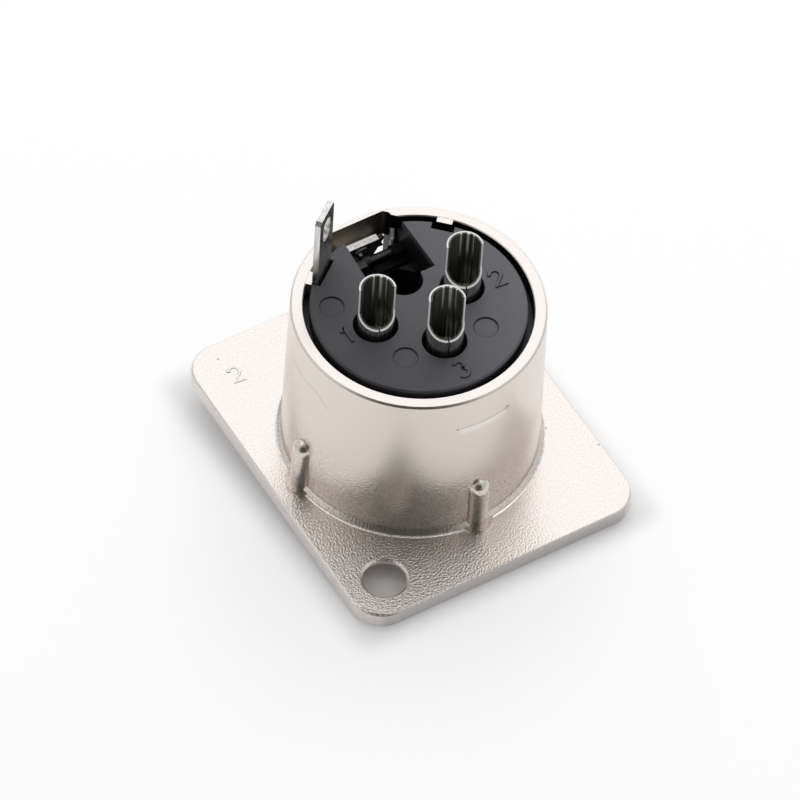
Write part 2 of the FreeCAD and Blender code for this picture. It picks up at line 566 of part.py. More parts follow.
def build_lever():
    """Stamped latch lever: head, ears on the pivot, waisted arm, hook and push tab."""
    body = new_body("latch_lever")
    jog_foot = "(lever_jog_top - lever_jog)"
    head_out = "(lever_head_place + lever_thick)"
    strip_side = new_sketch(body, "strip", "YZ_Plane")
    polygon(strip_side, [("lever_head_place", "lever_head_top"), ("lever_head_place", "lever_jog_top"),
                         (ARM_IN, jog_foot), (ARM_IN, PUSH_FRONT), ("push_reach", PUSH_FRONT),
                         ("push_reach", PUSH_BACK), (ARM_OUT, PUSH_BACK),
                         (ARM_OUT, f"{jog_foot} + lever_thick / 2"),
                         (head_out, "lever_jog_top + lever_thick / 2"), (head_out, "lever_head_top")])
    blank = extrude(body, "Pad", strip_side, "2 * push_half", both=True)
    back = value(PUSH_BACK)
    front = value(PUSH_FRONT)

    def along_x(edge):
        return abs(edge.tangentAt(edge.FirstParameter).x) > 0.9

    inside = edge_names(blank, lambda edge, middle: along_x(edge)
                        and abs(middle.y - value(ARM_OUT)) < 0.01 and abs(middle.z - back) < 0.01)
    bent = soften(body, "Fillet", blank, inside, "lever_bend")
    outside = edge_names(bent, lambda edge, middle: along_x(edge)
                         and abs(middle.y - value(ARM_IN)) < 0.01 and abs(middle.z - front) < 0.01)
    bent = soften(body, "Fillet", bent, outside, "lever_bend + lever_thick")
    reach = value("push_reach")
    corners = edge_names(bent, lambda edge, middle: abs(edge.tangentAt(edge.FirstParameter).z) > 0.9
                         and abs(middle.y - reach) < 0.01)
    soften(body, "Fillet", bent, corners, "push_corner")

    beyond = "push_half + cut_extra"
    above = "lever_head_top + cut_extra"
    shoulder_top = "(lever_jog_top + lever_shoulder)"
    arm_end = f"({FRONT} - push_gap / 2)"
    edge = [("lever_head_half", above), ("lever_head_half", shoulder_top),
            ("lever_shoulder_half", "lever_jog_top"), ("lever_shoulder_half", f"{jog_foot} + lever_shoulder"),
            ("lever_waist_half", "lever_waist_top"), ("lever_waist_half", "lever_waist_foot"),
            ("lever_arm_half", "hook_place"), ("lever_arm_half", arm_end),
            (beyond, arm_end), (beyond, above)]
    for name, mirror in (("right_edge", ""), ("left_edge", "0 - ")):
        side = new_sketch(body, name, "XZ_Plane")
        polygon(side, [(f"{mirror}({x})", z) for x, z in edge])
        extrude(body, "Pocket", side, "2 * push_reach", both=True)

    hook = new_sketch(body, "hook", "YZ_Plane")
    tip = f"{ARM_IN} - hook_depth"
    polygon(hook, [(ARM_IN, "hook_place"), (tip, "hook_place"), (tip, "hook_place - hook_tip"),
                   (ARM_IN, "hook_place - hook_tip - hook_ramp"),
                   (f"{ARM_IN} + lever_thick / 2", "hook_place - hook_tip - hook_ramp"),
                   (f"{ARM_IN} + lever_thick / 2", "hook_place")])
    extrude(body, "Pad", hook, "2 * hook_half", both=True)

    second = "(0 - ear_place + lever_thick + ear_space)"
    for name, lift in (("right_ear", second), ("left_ear", "(0 - ear_place)")):
        ear = new_sketch(body, name, "YZ_Plane", lift)
        polygon(ear, [("pivot_place", "pivot_height - ear_radius"),
                      ("lever_head_place + lever_thick / 2", "pivot_height - ear_radius"),
                      ("lever_head_place + lever_thick / 2", "pivot_height"),
                      ("pivot_place", "pivot_height + ear_radius")])
        extrude(body, "Pad", ear, "lever_thick")
        end = new_sketch(body, f"{name}_end", "YZ_Plane", lift)
        circle(end, "pivot_place", "pivot_height", "ear_radius")
        extrude(body, "Pad", end, "lever_thick")
    eye = new_sketch(body, "eye", "YZ_Plane")
    circle(eye, "pivot_place", "pivot_height", "pivot_radius + pivot_gap")
    extrude(body, "Pocket", eye, "4 * lever_head_half", both=True)
    return body


def build_pin():
    """Straight pivot pin, which lies across the recess in the insert."""
    pin = doc.addObject("Part::Cylinder", "latch_pin")
    pin.Label = "latch_pin"
    pin.setExpression("Radius", bound("pivot_radius"))
    pin.setExpression("Height", bound("2 * pivot_half"))
    pin.Placement.Rotation = FreeCAD.Rotation(FreeCAD.Vector(0, 1, 0), 90)
    pin.setExpression("Placement.Base.x", bound("0 - pivot_half"))
    pin.setExpression("Placement.Base.y", bound("pivot_place"))
    pin.setExpression("Placement.Base.z", bound("pivot_height"))
    return pin


def build_spring():
    """Torsion spring: leg on the post, coil round the pin, foot on the lever's head."""
    wire = value("wire_radius")
    mean = value("coil_radius")
    lean = math.radians(value("foot_lean"))
    turn_angle = math.radians(value("coil_turns * 360"))
    pieces_count = round(value("coil_turns * 360 / coil_step"))
    centre = FreeCAD.Vector(value("0 - coil_start"), value("pivot_place"), value("pivot_height"))
    # The coil starts downwards on the head's side and runs along -X.
    coil = []
    for k in range(pieces_count + 1):
        angle = lean + turn_angle * k / pieces_count
        along = value("coil_pitch * coil_turns") * k / pieces_count
        coil.append(centre + FreeCAD.Vector(-along, mean * math.cos(angle), -mean * math.sin(angle)))
    # The foot leans from the coil's start to the head and bends towards +X there.
    bend = value("spring_bend")
    rise = FreeCAD.Vector(0, math.sin(lean), math.cos(lean))
    way = value("lever_head_place - wire_radius - toe_gap") - coil[0].y
    corner = coil[0] + rise * (way / math.sin(lean) - bend) + FreeCAD.Vector(bend, 0, 0)
    foot = []
    bend_pieces = round(90 / value("coil_step"))
    for k in range(bend_pieces + 1):
        angle = math.radians(90 * k / bend_pieces)
        foot.append(corner - FreeCAD.Vector(bend * math.cos(angle), 0, 0) + rise * (bend * math.sin(angle)))
    foot_end = foot[-1] + FreeCAD.Vector(value("spring_toe"), 0, 0)
    # The leg leaves the coil's other end upwards and lies along the post.
    leg_top = coil[-1] + FreeCAD.Vector(0, 0, value("spring_leg"))
    path = Part.makePolygon([foot_end] + foot[::-1] + coil + [leg_top])
    flats = round(value("wire_flats"))
    ring = []
    for k in range(flats + 1):
        angle = 2 * math.pi * (k % flats) / flats
        ring.append(foot_end + FreeCAD.Vector(0, wire * math.cos(angle), wire * math.sin(angle)))
    section = Part.makePolygon(ring)
    spring = doc.addObject("Part::Feature", "latch_spring")
    spring.Label = "latch_spring"
    spring.Shape = path.makePipeShell([section], True, False, 1)
    return spring


pieces = [build_shell(), build_insert()]
pieces += [build_contact(*contact) for contact in CONTACTS]
pieces += [build_ground_tab(), build_lever(), build_pin(), build_spring()]
doc.recompute()

for item in doc.Objects:
    if "Invalid" in item.State or "Error" in item.State:
        raise SystemExit(f"{item.Name} did not build: {item.State}")
for piece in pieces:
    if piece.Shape.isNull() or not piece.Shape.isValid():
        raise SystemExit(f"{piece.Label} is null or not valid")

os.makedirs("parts", exist_ok=True)
for piece in pieces:
    piece.Shape.exportStep(os.path.join("parts", f"{piece.Label}.step"))
    box = piece.Shape.BoundBox
    print(f"{piece.Label}: {len(piece.Shape.Solids)} solid, {piece.Shape.Volume:.2f} mm3,"
          f" z {box.ZMin:.2f} to {box.ZMax:.2f}")
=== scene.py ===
# %% [markdown]
# # A panel socket, dressed for its photograph
# The pieces of this socket are already modelled at their real size. This lesson gives them
# their finishes, adds the small cast and moulded marks, and sets up the light and the camera.
# The model is loaded first, and nothing in it is moved.

# %% Load the model
import math
import bmesh
import bpy
from mathutils import Matrix, Vector


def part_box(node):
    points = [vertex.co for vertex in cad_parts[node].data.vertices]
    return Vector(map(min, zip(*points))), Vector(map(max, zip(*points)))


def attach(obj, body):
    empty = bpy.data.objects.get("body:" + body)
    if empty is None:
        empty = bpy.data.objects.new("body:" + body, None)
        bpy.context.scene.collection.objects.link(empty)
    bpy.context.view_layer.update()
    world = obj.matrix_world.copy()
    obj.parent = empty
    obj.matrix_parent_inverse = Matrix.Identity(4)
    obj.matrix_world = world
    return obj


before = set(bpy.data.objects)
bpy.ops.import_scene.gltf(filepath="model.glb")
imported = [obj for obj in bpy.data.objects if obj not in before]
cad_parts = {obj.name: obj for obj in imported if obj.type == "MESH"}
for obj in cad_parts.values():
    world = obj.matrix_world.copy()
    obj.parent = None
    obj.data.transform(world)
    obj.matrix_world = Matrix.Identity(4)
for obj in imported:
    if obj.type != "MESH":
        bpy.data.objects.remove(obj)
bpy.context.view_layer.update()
MM = 0.001
print("nodes:", ", ".join(sorted(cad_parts)))

# %% [markdown]
# ## The camera
# The photograph was taken from far away with a long lens, so parallel edges stay almost
# parallel. A camera could be moved by eye until the picture looks right, but its distance, its
# lens and its angles hide each other's errors. The values below were found instead by fitting
# the corners of the flange and the circles of the barrel to the photograph. A camera's matrix
# holds its right, up and backward directions as columns, and the roll turns the first two
# about the third.

# %% Place the camera
AZIMUTH = math.radians(-33.63)
ELEVATION = math.radians(52.492)
ROLL = math.radians(3.883)
DISTANCE = 639.507 * MM
AIM = Vector((-2.602, -2.099, 8.0)) * MM
FOCAL_PIXELS = 7902.827
FRAME_PIXELS = 800

backward = Vector((math.sin(AZIMUTH) * math.cos(ELEVATION),
                   -math.cos(AZIMUTH) * math.cos(ELEVATION),
                   math.sin(ELEVATION)))
level = Vector((math.cos(AZIMUTH), math.sin(AZIMUTH), 0))
upward = backward.cross(level)
right = math.cos(ROLL) * level + math.sin(ROLL) * upward
top = math.cos(ROLL) * upward - math.sin(ROLL) * level
turned = Matrix((right, top, backward)).transposed().to_4x4()

camera = bpy.data.objects.new("camera", bpy.data.cameras.new("camera"))
bpy.context.scene.collection.objects.link(camera)
bpy.context.scene.camera = camera
camera.data.lens = FOCAL_PIXELS * camera.data.sensor_width / FRAME_PIXELS
camera.matrix_world = Matrix.Translation(AIM + backward * DISTANCE) @ turned
camera.data.clip_start = 0.01
camera.data.clip_end = 10
bpy.context.scene.view_settings.view_transform = "Standard"
print(f"lens {camera.data.lens:.1f} mm")

# %% [markdown]
# ## The table it lies on
# The socket lies on its front. The latch's push tab stands out there, so the part leans on
# that tab and on the far edge of the flange, a few degrees off level. Tilting the table the
# same way is simpler than tilting the part, which has to stay in its own frame.

# %% Make the table
FLANGE_THICK = 1.55 * MM
TAB_BEND = 10.57 * MM
TABLE_SIZE = 3.0
TABLE_GAP = 0.02 * MM
flange_edge = Vector((0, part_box("shell")[0].y, -FLANGE_THICK))
tab_edge = Vector((0, TAB_BEND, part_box("latch_lever")[0].z))
lean = math.atan2(tab_edge.z - flange_edge.z, tab_edge.y - flange_edge.y)

bpy.ops.mesh.primitive_plane_add(size=TABLE_SIZE)
table = bpy.context.object
table.name = "table"
table.rotation_euler.x = lean
table.location = flange_edge - Vector((0, 0, TABLE_GAP))
print(f"the table leans {math.degrees(lean):.2f} degrees")

# %% [markdown]
# ## Small helpers for shader nodes
# A material is a small network. It could be drawn by hand in the node editor, but written
# down it can be read, changed and run again. These helpers add a node, set its plain values
# and join sockets, so that each network below reads from its first node to its last.


# %% Node helpers
def add_node(tree, kind, values=None, **settings):
    """Add a node, set its properties, then its inputs by name or number."""
    node = tree.nodes.new(kind)
    for name, setting in settings.items():
        setattr(node, name, setting)
    for name, value in (values or {}).items():
        node.inputs[name].default_value = value
    return node


def join(tree, output, socket):
    """Feed an output into an input."""
    tree.links.new(output, socket)


def calculate(tree, operation, first, second=0.0):
    """Work out a value from sockets or numbers with a Math node."""
    node = add_node(tree, "ShaderNodeMath", operation=operation)
    for place, value in enumerate((first, second)):
        if isinstance(value, (int, float)):
            node.inputs[place].default_value = value
        else:
            join(tree, value, node.inputs[place])
    return node.outputs[0]


def spread(tree, value, low, high, new_low=0.0, new_high=1.0):
    """Map a range of a value to a new range, smoothly and without passing its ends."""
    node = add_node(tree, "ShaderNodeMapRange", {1: low, 2: high, 3: new_low, 4: new_high},
                    interpolation_type="SMOOTHSTEP")
    join(tree, value, node.inputs[0])
    return node.outputs[0]


print("node helpers: 4")


# %% Place helpers
def object_place(tree):
    """Give the place of a point of the surface, in the object's own metres."""
    return add_node(tree, "ShaderNodeTexCoord").outputs["Object"]


def split_axes(tree, vector):
    """Split a vector into its X, Y and Z."""
    axes = add_node(tree, "ShaderNodeSeparateXYZ")
    join(tree, vector, axes.inputs[0])
    return axes.outputs


print("place helpers: 2")

# %% [markdown]
# ## An effect for cast metal: pebbled grain
# Cast and plated zinc has a skin of fine pebbles about a fifth of a millimetre wide, with
# slow waves below them. Pebbles in the mesh would take millions of faces, and all that shows
# of them is the way they break up a reflection. So two noises of different size make a height
# for a Bump node. The group is built once, and each material says how coarse its grain is.
# Besides the height it puts out a mask of the hollows between the pebbles and a mask of slow
# patches, for colour and roughness.


# %% Start a node group
def start_group(name, inputs, outputs):
    """Start a node group from the kinds of its inputs and the names of its outputs."""
    group = bpy.data.node_groups.new(name, "ShaderNodeTree")
    for label, kind in inputs.items():
        group.interface.new_socket(label, in_out="INPUT", socket_type=kind)
    for label in outputs:
        group.interface.new_socket(label, in_out="OUTPUT", socket_type="NodeSocketFloat")
    return group, group.nodes.new("NodeGroupInput"), group.nodes.new("NodeGroupOutput")


print("group helpers: 1")

# %% Build the grain group
HOLLOW_LEVELS = (0.36, 0.52)
PATCH_LEVELS = (0.35, 0.65)
grain_group, grain_in, grain_out = start_group(
    "pebbled_grain",
    {"Pebbles per metre": "NodeSocketFloat", "Waves per metre": "NodeSocketFloat",
     "Wave share": "NodeSocketFloat"},
    ("Height", "Hollows", "Patches"))
grain_place = object_place(grain_group)
pebbles = add_node(grain_group, "ShaderNodeTexNoise", {"Detail": 2.0, "Roughness": 0.55})
waves = add_node(grain_group, "ShaderNodeTexNoise", {"Detail": 2.0, "Roughness": 0.5})
for noise, label in ((pebbles, "Pebbles per metre"), (waves, "Waves per metre")):
    join(grain_group, grain_place, noise.inputs["Vector"])
    join(grain_group, grain_in.outputs[label], noise.inputs["Scale"])
wave_height = calculate(grain_group, "MULTIPLY", waves.outputs["Fac"],
                        grain_in.outputs["Wave share"])
grain_height = calculate(grain_group, "ADD", pebbles.outputs["Fac"], wave_height)
grain_hollows = spread(grain_group, pebbles.outputs["Fac"], *HOLLOW_LEVELS)
grain_patches = spread(grain_group, waves.outputs["Fac"], *PATCH_LEVELS)
join(grain_group, grain_height, grain_out.inputs["Height"])
join(grain_group, grain_hollows, grain_out.inputs["Hollows"])
join(grain_group, grain_patches, grain_out.inputs["Patches"])
print("group:", grain_group.name)

# %% [markdown]
# ## An effect for rolled and stamped sheet: drawn lines
# Sheet metal that was rolled, drawn or stamped has fine lines in one direction. A wave
# texture could draw them, but its lines are too even. A noise that is stretched along one
# axis gives uneven ones: the coordinates are scaled much less along the lines than across.

# %% Build the drawn lines group
STREAK_LEVELS = (0.35, 0.65)
lines_group, lines_in, lines_out = start_group(
    "drawn_lines", {"Across per metre": "NodeSocketVector"}, ("Height", "Streaks"))
stretch = add_node(lines_group, "ShaderNodeVectorMath", operation="MULTIPLY")
join(lines_group, object_place(lines_group), stretch.inputs[0])
join(lines_group, lines_in.outputs["Across per metre"], stretch.inputs[1])
lines = add_node(lines_group, "ShaderNodeTexNoise",
                 {"Scale": 1.0, "Detail": 3.0, "Roughness": 0.6})
join(lines_group, stretch.outputs[0], lines.inputs["Vector"])
lines_streaks = spread(lines_group, lines.outputs["Fac"], *STREAK_LEVELS)
join(lines_group, lines.outputs["Fac"], lines_out.inputs["Height"])
join(lines_group, lines_streaks, lines_out.inputs["Streaks"])
print("group:", lines_group.name)

# %% [markdown]
# ## Starting a material
# Every finish here is one Principled shader. What is the same all over the surface is set on
# the shader's own sockets. Only what changes over the surface comes from other nodes, as
# masks. A mask is a number from zero to one, and masks are multiplied to keep what lies in
# all of them, or the highest is taken to keep what lies in any.


# %% Material helpers
def start_material(name, **constants):
    """Start a material and set the plain values of its Principled shader."""
    material = bpy.data.materials.new(name)
    material.use_nodes = True
    shader = material.node_tree.nodes["Principled BSDF"]
    for label, value in constants.items():
        shader.inputs[label.replace("_", " ")].default_value = value
    return material, material.node_tree, shader


def place_group(tree, group, **values):
    """Place a node group in a material with values of its own."""
    node = tree.nodes.new("ShaderNodeGroup")
    node.node_tree = group
    for label, value in values.items():
        node.inputs[label.replace("_", " ")].default_value = value
    return node


def emboss(tree, shader, height, depth):
    """Turn a height into a bumped normal, with the depth in metres."""
    bump = add_node(tree, "ShaderNodeBump", {"Strength": 1.0, "Distance": depth})
    join(tree, height, bump.inputs["Height"])
    join(tree, bump.outputs["Normal"], shader.inputs["Normal"])


def dress(node, material):
    """Give a piece of the model its finish."""
    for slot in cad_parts[node].material_slots:
        slot.material = material
    print("dressed:", node)


print("material helpers: 4")


# %% Mask helpers
def fade(tree, value, low, high):
    """Mask what is below a range of a value."""
    return spread(tree, value, low, high, 1.0, 0.0)


def pick(tree, mask, off, on):
    """Go from one number where a mask is zero to another where it is one."""
    return spread(tree, mask, 0.0, 1.0, off, on)


def band(tree, value, centre, half, soft):
    """Mask what is within a half width of a centre."""
    away = calculate(tree, "ABSOLUTE", calculate(tree, "SUBTRACT", value, centre))
    return fade(tree, away, half - soft, half + soft)


def multiply(tree, first, *others):
    """Multiply several masks."""
    for other in others:
        first = calculate(tree, "MULTIPLY", first, other)
    return first


def highest(tree, first, *others):
    """Take the highest of several masks."""
    for other in others:
        first = calculate(tree, "MAXIMUM", first, other)
    return first


print("mask helpers: 5")


# %% Colour helper
def blend_colours(tree, share, first, second):
    """Mix two colours, each a socket or three numbers, by a share."""
    node = add_node(tree, "ShaderNodeMix", data_type="RGBA")
    join(tree, share, node.inputs["Factor"])
    for name, colour in (("A", first), ("B", second)):
        socket = next(item for item in node.inputs if item.name == name and item.type == "RGBA")
        if isinstance(colour, tuple):
            socket.default_value = (*colour, 1)
        else:
            join(tree, colour, socket)
    return next(item for item in node.outputs if item.type == "RGBA")


print("colour helpers: 1")

# %% [markdown]
# ## The shell: satin nickel on cast zinc
# The shell is cast zinc with warm satin nickel plating. The flange is left as cast, with a
# coarse, glossy, pebbled skin. The barrel came out of a smoother part of the mould, so its
# grain is weaker and its gloss is softer. Its plating is a touch warmer, and its darker colour
# is painted shade. The flange's near side wall has a darker colour of painted shade too.
# Inside the barrel, the latch pocket and the sides of the slot the metal is painted dark as
# painted shade, brown on the left and going to black on the right. The shell could be cut into
# faces with a material each, but their borders would be hard lines. It is one casting, so it
# has one material, and masks made from the place on the part say which skin is where. In the
# values below, two numbers are where a mask starts and ends, and three are a band's centre,
# its half width and its softness.

# %% Masks on the shell
BARREL_FOOT = (0.02 * MM, 0.12 * MM)
BARREL_UPPER = (3.5 * MM, 8.5 * MM)
BORE_WALL = (9.93 * MM, 9.98 * MM)
BELOW_RIM = (16.24 * MM, 16.32 * MM)
POCKET_X = (0.0, 2.95 * MM, 0.03 * MM)
POCKET_Y = (9.2 * MM, 0.72 * MM, 0.03 * MM)
nickel, tree, shader = start_material("nickel_casting", Metallic=1.0)
grain = place_group(tree, grain_group, Pebbles_per_metre=5600.0, Waves_per_metre=420.0,
                    Wave_share=0.04)
shell_place = object_place(tree)
shell_x, shell_y, shell_z = split_axes(tree, shell_place)
squares = [calculate(tree, "POWER", along, 2.0) for along in (shell_x, shell_y)]
from_axis = calculate(tree, "SQRT", calculate(tree, "ADD", *squares))
on_barrel = spread(tree, shell_z, *BARREL_FOOT)
higher = spread(tree, shell_z, *BARREL_UPPER)
in_bore = multiply(tree, fade(tree, from_axis, *BORE_WALL), fade(tree, shell_z, *BELOW_RIM))
in_pocket = multiply(tree, band(tree, shell_x, *POCKET_X), band(tree, shell_y, *POCKET_Y),
                     fade(tree, shell_z, *BELOW_RIM))
print("masks: on barrel, higher, in bore, in pocket")

# %% Colours of the plating
NICKEL = (0.80, 0.755, 0.73)
# The barrel's colours are a touch warmer than the flange's, and their darker tone is painted
# shade.
NICKEL_BARREL_SHADE = (0.73, 0.672, 0.62)
NICKEL_HOLLOW = (0.735, 0.69, 0.655)
BARREL_HOLLOW_SHADE = (0.56, 0.51, 0.455)
# The side wall's colour is painted shade.
NICKEL_SIDE_SHADE = (0.585, 0.56, 0.55)
RIM_START = (16.30 * MM, 16.38 * MM)
SIDE_WALL_Y = (-15.35 * MM, -15.0 * MM)
SIDE_WALL_Z = (-0.14 * MM, -0.04 * MM)
# Painted shade: below the rim the barrel takes its darker colour.
under_rim = multiply(tree, on_barrel, fade(tree, shell_z, *RIM_START))
smooth_colour = blend_colours(tree, under_rim, NICKEL, NICKEL_BARREL_SHADE)
hollow_colour = blend_colours(tree, on_barrel, NICKEL_HOLLOW, BARREL_HOLLOW_SHADE)
filled = highest(tree, grain.outputs["Hollows"], higher)
plated = blend_colours(tree, filled, hollow_colour, smooth_colour)
# Painted shade: the flange's near side wall is given a darker colour.
shaded_side_wall = multiply(tree, fade(tree, shell_z, *SIDE_WALL_Z), fade(tree, shell_y, *SIDE_WALL_Y))
plated = blend_colours(tree, shaded_side_wall, plated, NICKEL_SIDE_SHADE)
print("plating: flange, barrel, side wall")

# %% Colours of painted shade in the bore, the pocket and the slot
SHADE_BROWN = (0.72, 0.62, 0.49)
SHADE_DARK = (0.32, 0.30, 0.275)
SHADE_BLACK = (0.05, 0.048, 0.045)
BROWN_TO_DARK = (-2.2 * MM, 0.4 * MM)
DARK_TO_BLACK = (2.4 * MM, 2.7 * MM)
SLOT_SIDE_X = (2.8 * MM, 0.03 * MM, 0.01 * MM)
SLOT_SIDE_Y = (9.7 * MM, 9.8 * MM)
SLOT_SIDE_Z = (13.5 * MM, 13.6 * MM)
# Painted shade: the bore, the pocket and the sides of the slot are darkened, brown to black from
# left to right.
slot_side = multiply(tree, band(tree, calculate(tree, "ABSOLUTE", shell_x), *SLOT_SIDE_X),
                     spread(tree, shell_y, *SLOT_SIDE_Y), fade(tree, shell_z, *SLOT_SIDE_Z))
shaded = highest(tree, in_bore, in_pocket, slot_side)
shade_colour = blend_colours(tree, spread(tree, shell_x, *BROWN_TO_DARK), SHADE_BROWN, SHADE_DARK)
shade_colour = blend_colours(tree, spread(tree, shell_x, *DARK_TO_BLACK), shade_colour, SHADE_BLACK)
shell_colour = blend_colours(tree, shaded, plated, shade_colour)
print("bare metal: bore, pocket, sides of the slot")

# %% Grain and gloss of the shell
GRAIN_DEPTH = 0.05 * MM
BARREL_GRAIN = 0.45
UPPER_GRAIN = 0.35
FRONT_GRAIN = 1.7
BACK_GRAIN = 0.32
FRONT_TO_BACK = (-22.0 * MM, -6.0 * MM)
FLANGE_ROUGH = 0.17
BARREL_ROUGH = 0.21
UPPER_ROUGH = 0.27
SHADED_ROUGH = 0.45
over_flange = calculate(tree, "ADD", shell_x, shell_y)
grain_weight = multiply(tree, pick(tree, on_barrel, 1.0, BARREL_GRAIN),
                        pick(tree, higher, 1.0, UPPER_GRAIN),
                        spread(tree, over_flange, *FRONT_TO_BACK, FRONT_GRAIN, BACK_GRAIN))
emboss(tree, shader, multiply(tree, grain.outputs["Height"], grain_weight), GRAIN_DEPTH)
shell_rough = highest(tree, pick(tree, on_barrel, FLANGE_ROUGH, BARREL_ROUGH),
                      pick(tree, higher, FLANGE_ROUGH, UPPER_ROUGH),
                      pick(tree, shaded, 0.0, SHADED_ROUGH))
join(tree, shell_rough, shader.inputs["Roughness"])
dress("shell", nickel)

# %% [markdown]
# ## Marks that the mould left on the shell
# High on the barrel, the mould's slides left fine dark lines, one of them over a paler band,
# and there are pits at their ends. A few dark specks lie on the flange. They could be cut into
# the mesh, but all are far shallower than a modelled edge, so they are masks in the shell's
# own material. A line is drawn by its angle round the barrel and its height, and a pit by its
# distance from one place. The angle jumps at one side of the barrel, so there are two angles,
# and a line is drawn with the one that jumps on the other side.


# %% Lines and pits
LINE_CORE = 0.4
LINE_END = 0.02
PIT_CORE = 0.5


def line_mark(tree, angle, height, start, end, half):
    """Mask a fine line between two (degrees, millimetres) places on the barrel."""
    (first_angle, first_height), (last_angle, last_height) = start, end
    span = math.radians(last_angle - first_angle)
    past_start = calculate(tree, "SUBTRACT", angle, math.radians(first_angle))
    along = calculate(tree, "DIVIDE", past_start, span)
    rise = calculate(tree, "MULTIPLY", along, (last_height - first_height) * MM)
    line_height = calculate(tree, "ADD", rise, first_height * MM)
    away = calculate(tree, "ABSOLUTE", calculate(tree, "SUBTRACT", height, line_height))
    return multiply(tree, fade(tree, away, LINE_CORE * half, half),
                    band(tree, along, 0.5, 0.5, LINE_END))


def distance_from(tree, place, centre):
    """Measure how far a place is from a centre that is given in millimetres."""
    away = add_node(tree, "ShaderNodeVectorMath", {1: Vector(centre) * MM},
                    operation="DISTANCE")
    join(tree, place, away.inputs[0])
    return away.outputs["Value"]


def pit_mark(tree, place, centre, radius):
    """Mask a small pit round a centre that is given in millimetres."""
    return fade(tree, distance_from(tree, place, centre), PIT_CORE * radius, radius)


def on_circle(radius, angle, height):
    """Give a place from its radius, its angle in degrees and its height."""
    turn = math.radians(angle)
    return radius * math.cos(turn), radius * math.sin(turn), height


print("kinds of marks: line, pit")

# %% Draw the marks
BARREL_RADIUS = 10.44
LEFT_LINES = (((-13.5, 13.0), (9.0, 13.26), 0.07), ((9.0, 13.26), (15.8, 12.5), 0.08))
RIGHT_LINES = (((-102.4, 13.12), (-76.5, 13.22), 0.06),)
BARREL_PITS = ((195.8, 12.5, 0.13), (-102.4, 13.12, 0.16), (-76.9, 13.2, 0.30))
FLANGE_PITS = ((9.85, -5.25, 0.14), (12.75, -8.8, 0.14), (-10.2, 13.9, 0.16))
angle_right = calculate(tree, "ARCTAN2", shell_y, shell_x)
minus_x, minus_y = (calculate(tree, "MULTIPLY", along, -1.0) for along in (shell_x, shell_y))
angle_left = calculate(tree, "ARCTAN2", minus_y, minus_x)
marks = []
for around, lines_here in ((angle_left, LEFT_LINES), (angle_right, RIGHT_LINES)):
    for start, end, half in lines_here:
        marks.append(line_mark(tree, around, shell_z, start, end, half * MM))
for angle, height, radius in BARREL_PITS:
    centre = on_circle(BARREL_RADIUS, angle, height)
    marks.append(pit_mark(tree, shell_place, centre, radius * MM))
for x, y, radius in FLANGE_PITS:
    marks.append(pit_mark(tree, shell_place, (x, y, 0.0), radius * MM))
print("marks:", len(marks))

# %% Colour the marks
MARK_DARK = (0.22, 0.19, 0.165)
MARK_SHARE = 0.62
BAND_PALE = (0.90, 0.88, 0.865)
BAND_SHARE = 0.4
GRAIN_BREAKS = (0.1, 0.9, 0.35, 1.0)
PALE_ANGLES = (math.radians(-89.5), math.radians(12.0), math.radians(2.0))
PALE_HEIGHTS = (12.75 * MM, 0.36 * MM, 0.12 * MM)
pale_band = multiply(tree, band(tree, angle_right, *PALE_ANGLES),
                     band(tree, shell_z, *PALE_HEIGHTS), on_barrel)
pale_share = multiply(tree, pale_band, BAND_SHARE)
shell_colour = blend_colours(tree, pale_share, shell_colour, BAND_PALE)
broken = spread(tree, grain.outputs["Hollows"], *GRAIN_BREAKS)
dark_share = multiply(tree, highest(tree, *marks), broken, MARK_SHARE)
shell_colour = blend_colours(tree, dark_share, shell_colour, MARK_DARK)
print("a pale band, and dark marks broken up by the grain")

# %% [markdown]
# ## The painted highlight on the corner of the latch pocket
# One bright line stands on the rounded corner of the pocket, and it is a painted highlight. A
# polished metal there would only mirror the dark side of the room. So a narrow mask along the
# corner makes the metal pale and takes its mirror away.

# %% Brighten the corner
CORNER_HIGHLIGHT = (0.95, 0.94, 0.92)
CORNER_ACROSS = (-6.14 * MM, 0.24 * MM, 0.06 * MM)
CORNER_X = (2.78 * MM, 2.84 * MM)
CORNER_Y = (9.0 * MM, 0.3 * MM, 0.04 * MM)
CORNER_Z = (13.6 * MM, 1.1 * MM, 0.1 * MM)
across_corner = calculate(tree, "SUBTRACT", shell_x, shell_y)
# Painted highlight: a pale, non-metal line along the pocket's corner.
corner = multiply(tree, band(tree, across_corner, *CORNER_ACROSS),
                  band(tree, shell_y, *CORNER_Y), band(tree, shell_z, *CORNER_Z),
                  spread(tree, shell_x, *CORNER_X))
shell_colour = blend_colours(tree, corner, shell_colour, CORNER_HIGHLIGHT)
join(tree, pick(tree, corner, 1.0, 0.0), shader.inputs["Metallic"])
join(tree, shell_colour, shader.inputs["Base Color"])
print("rubbed corners: 1")

# %% [markdown]
# ## The insert: matte moulded plastic
# The insert is a dark grey plastic with glass in it, which leaves a very fine matte skin and
# faint cloudy patches where the melt flowed. A coat over the plastic would look like gloss
# paint, so there is none: the grain alone breaks up the reflection. The top face is painted
# paler towards one side as a painted sheen, and the walls of the recess are painted near
# black as painted shade.

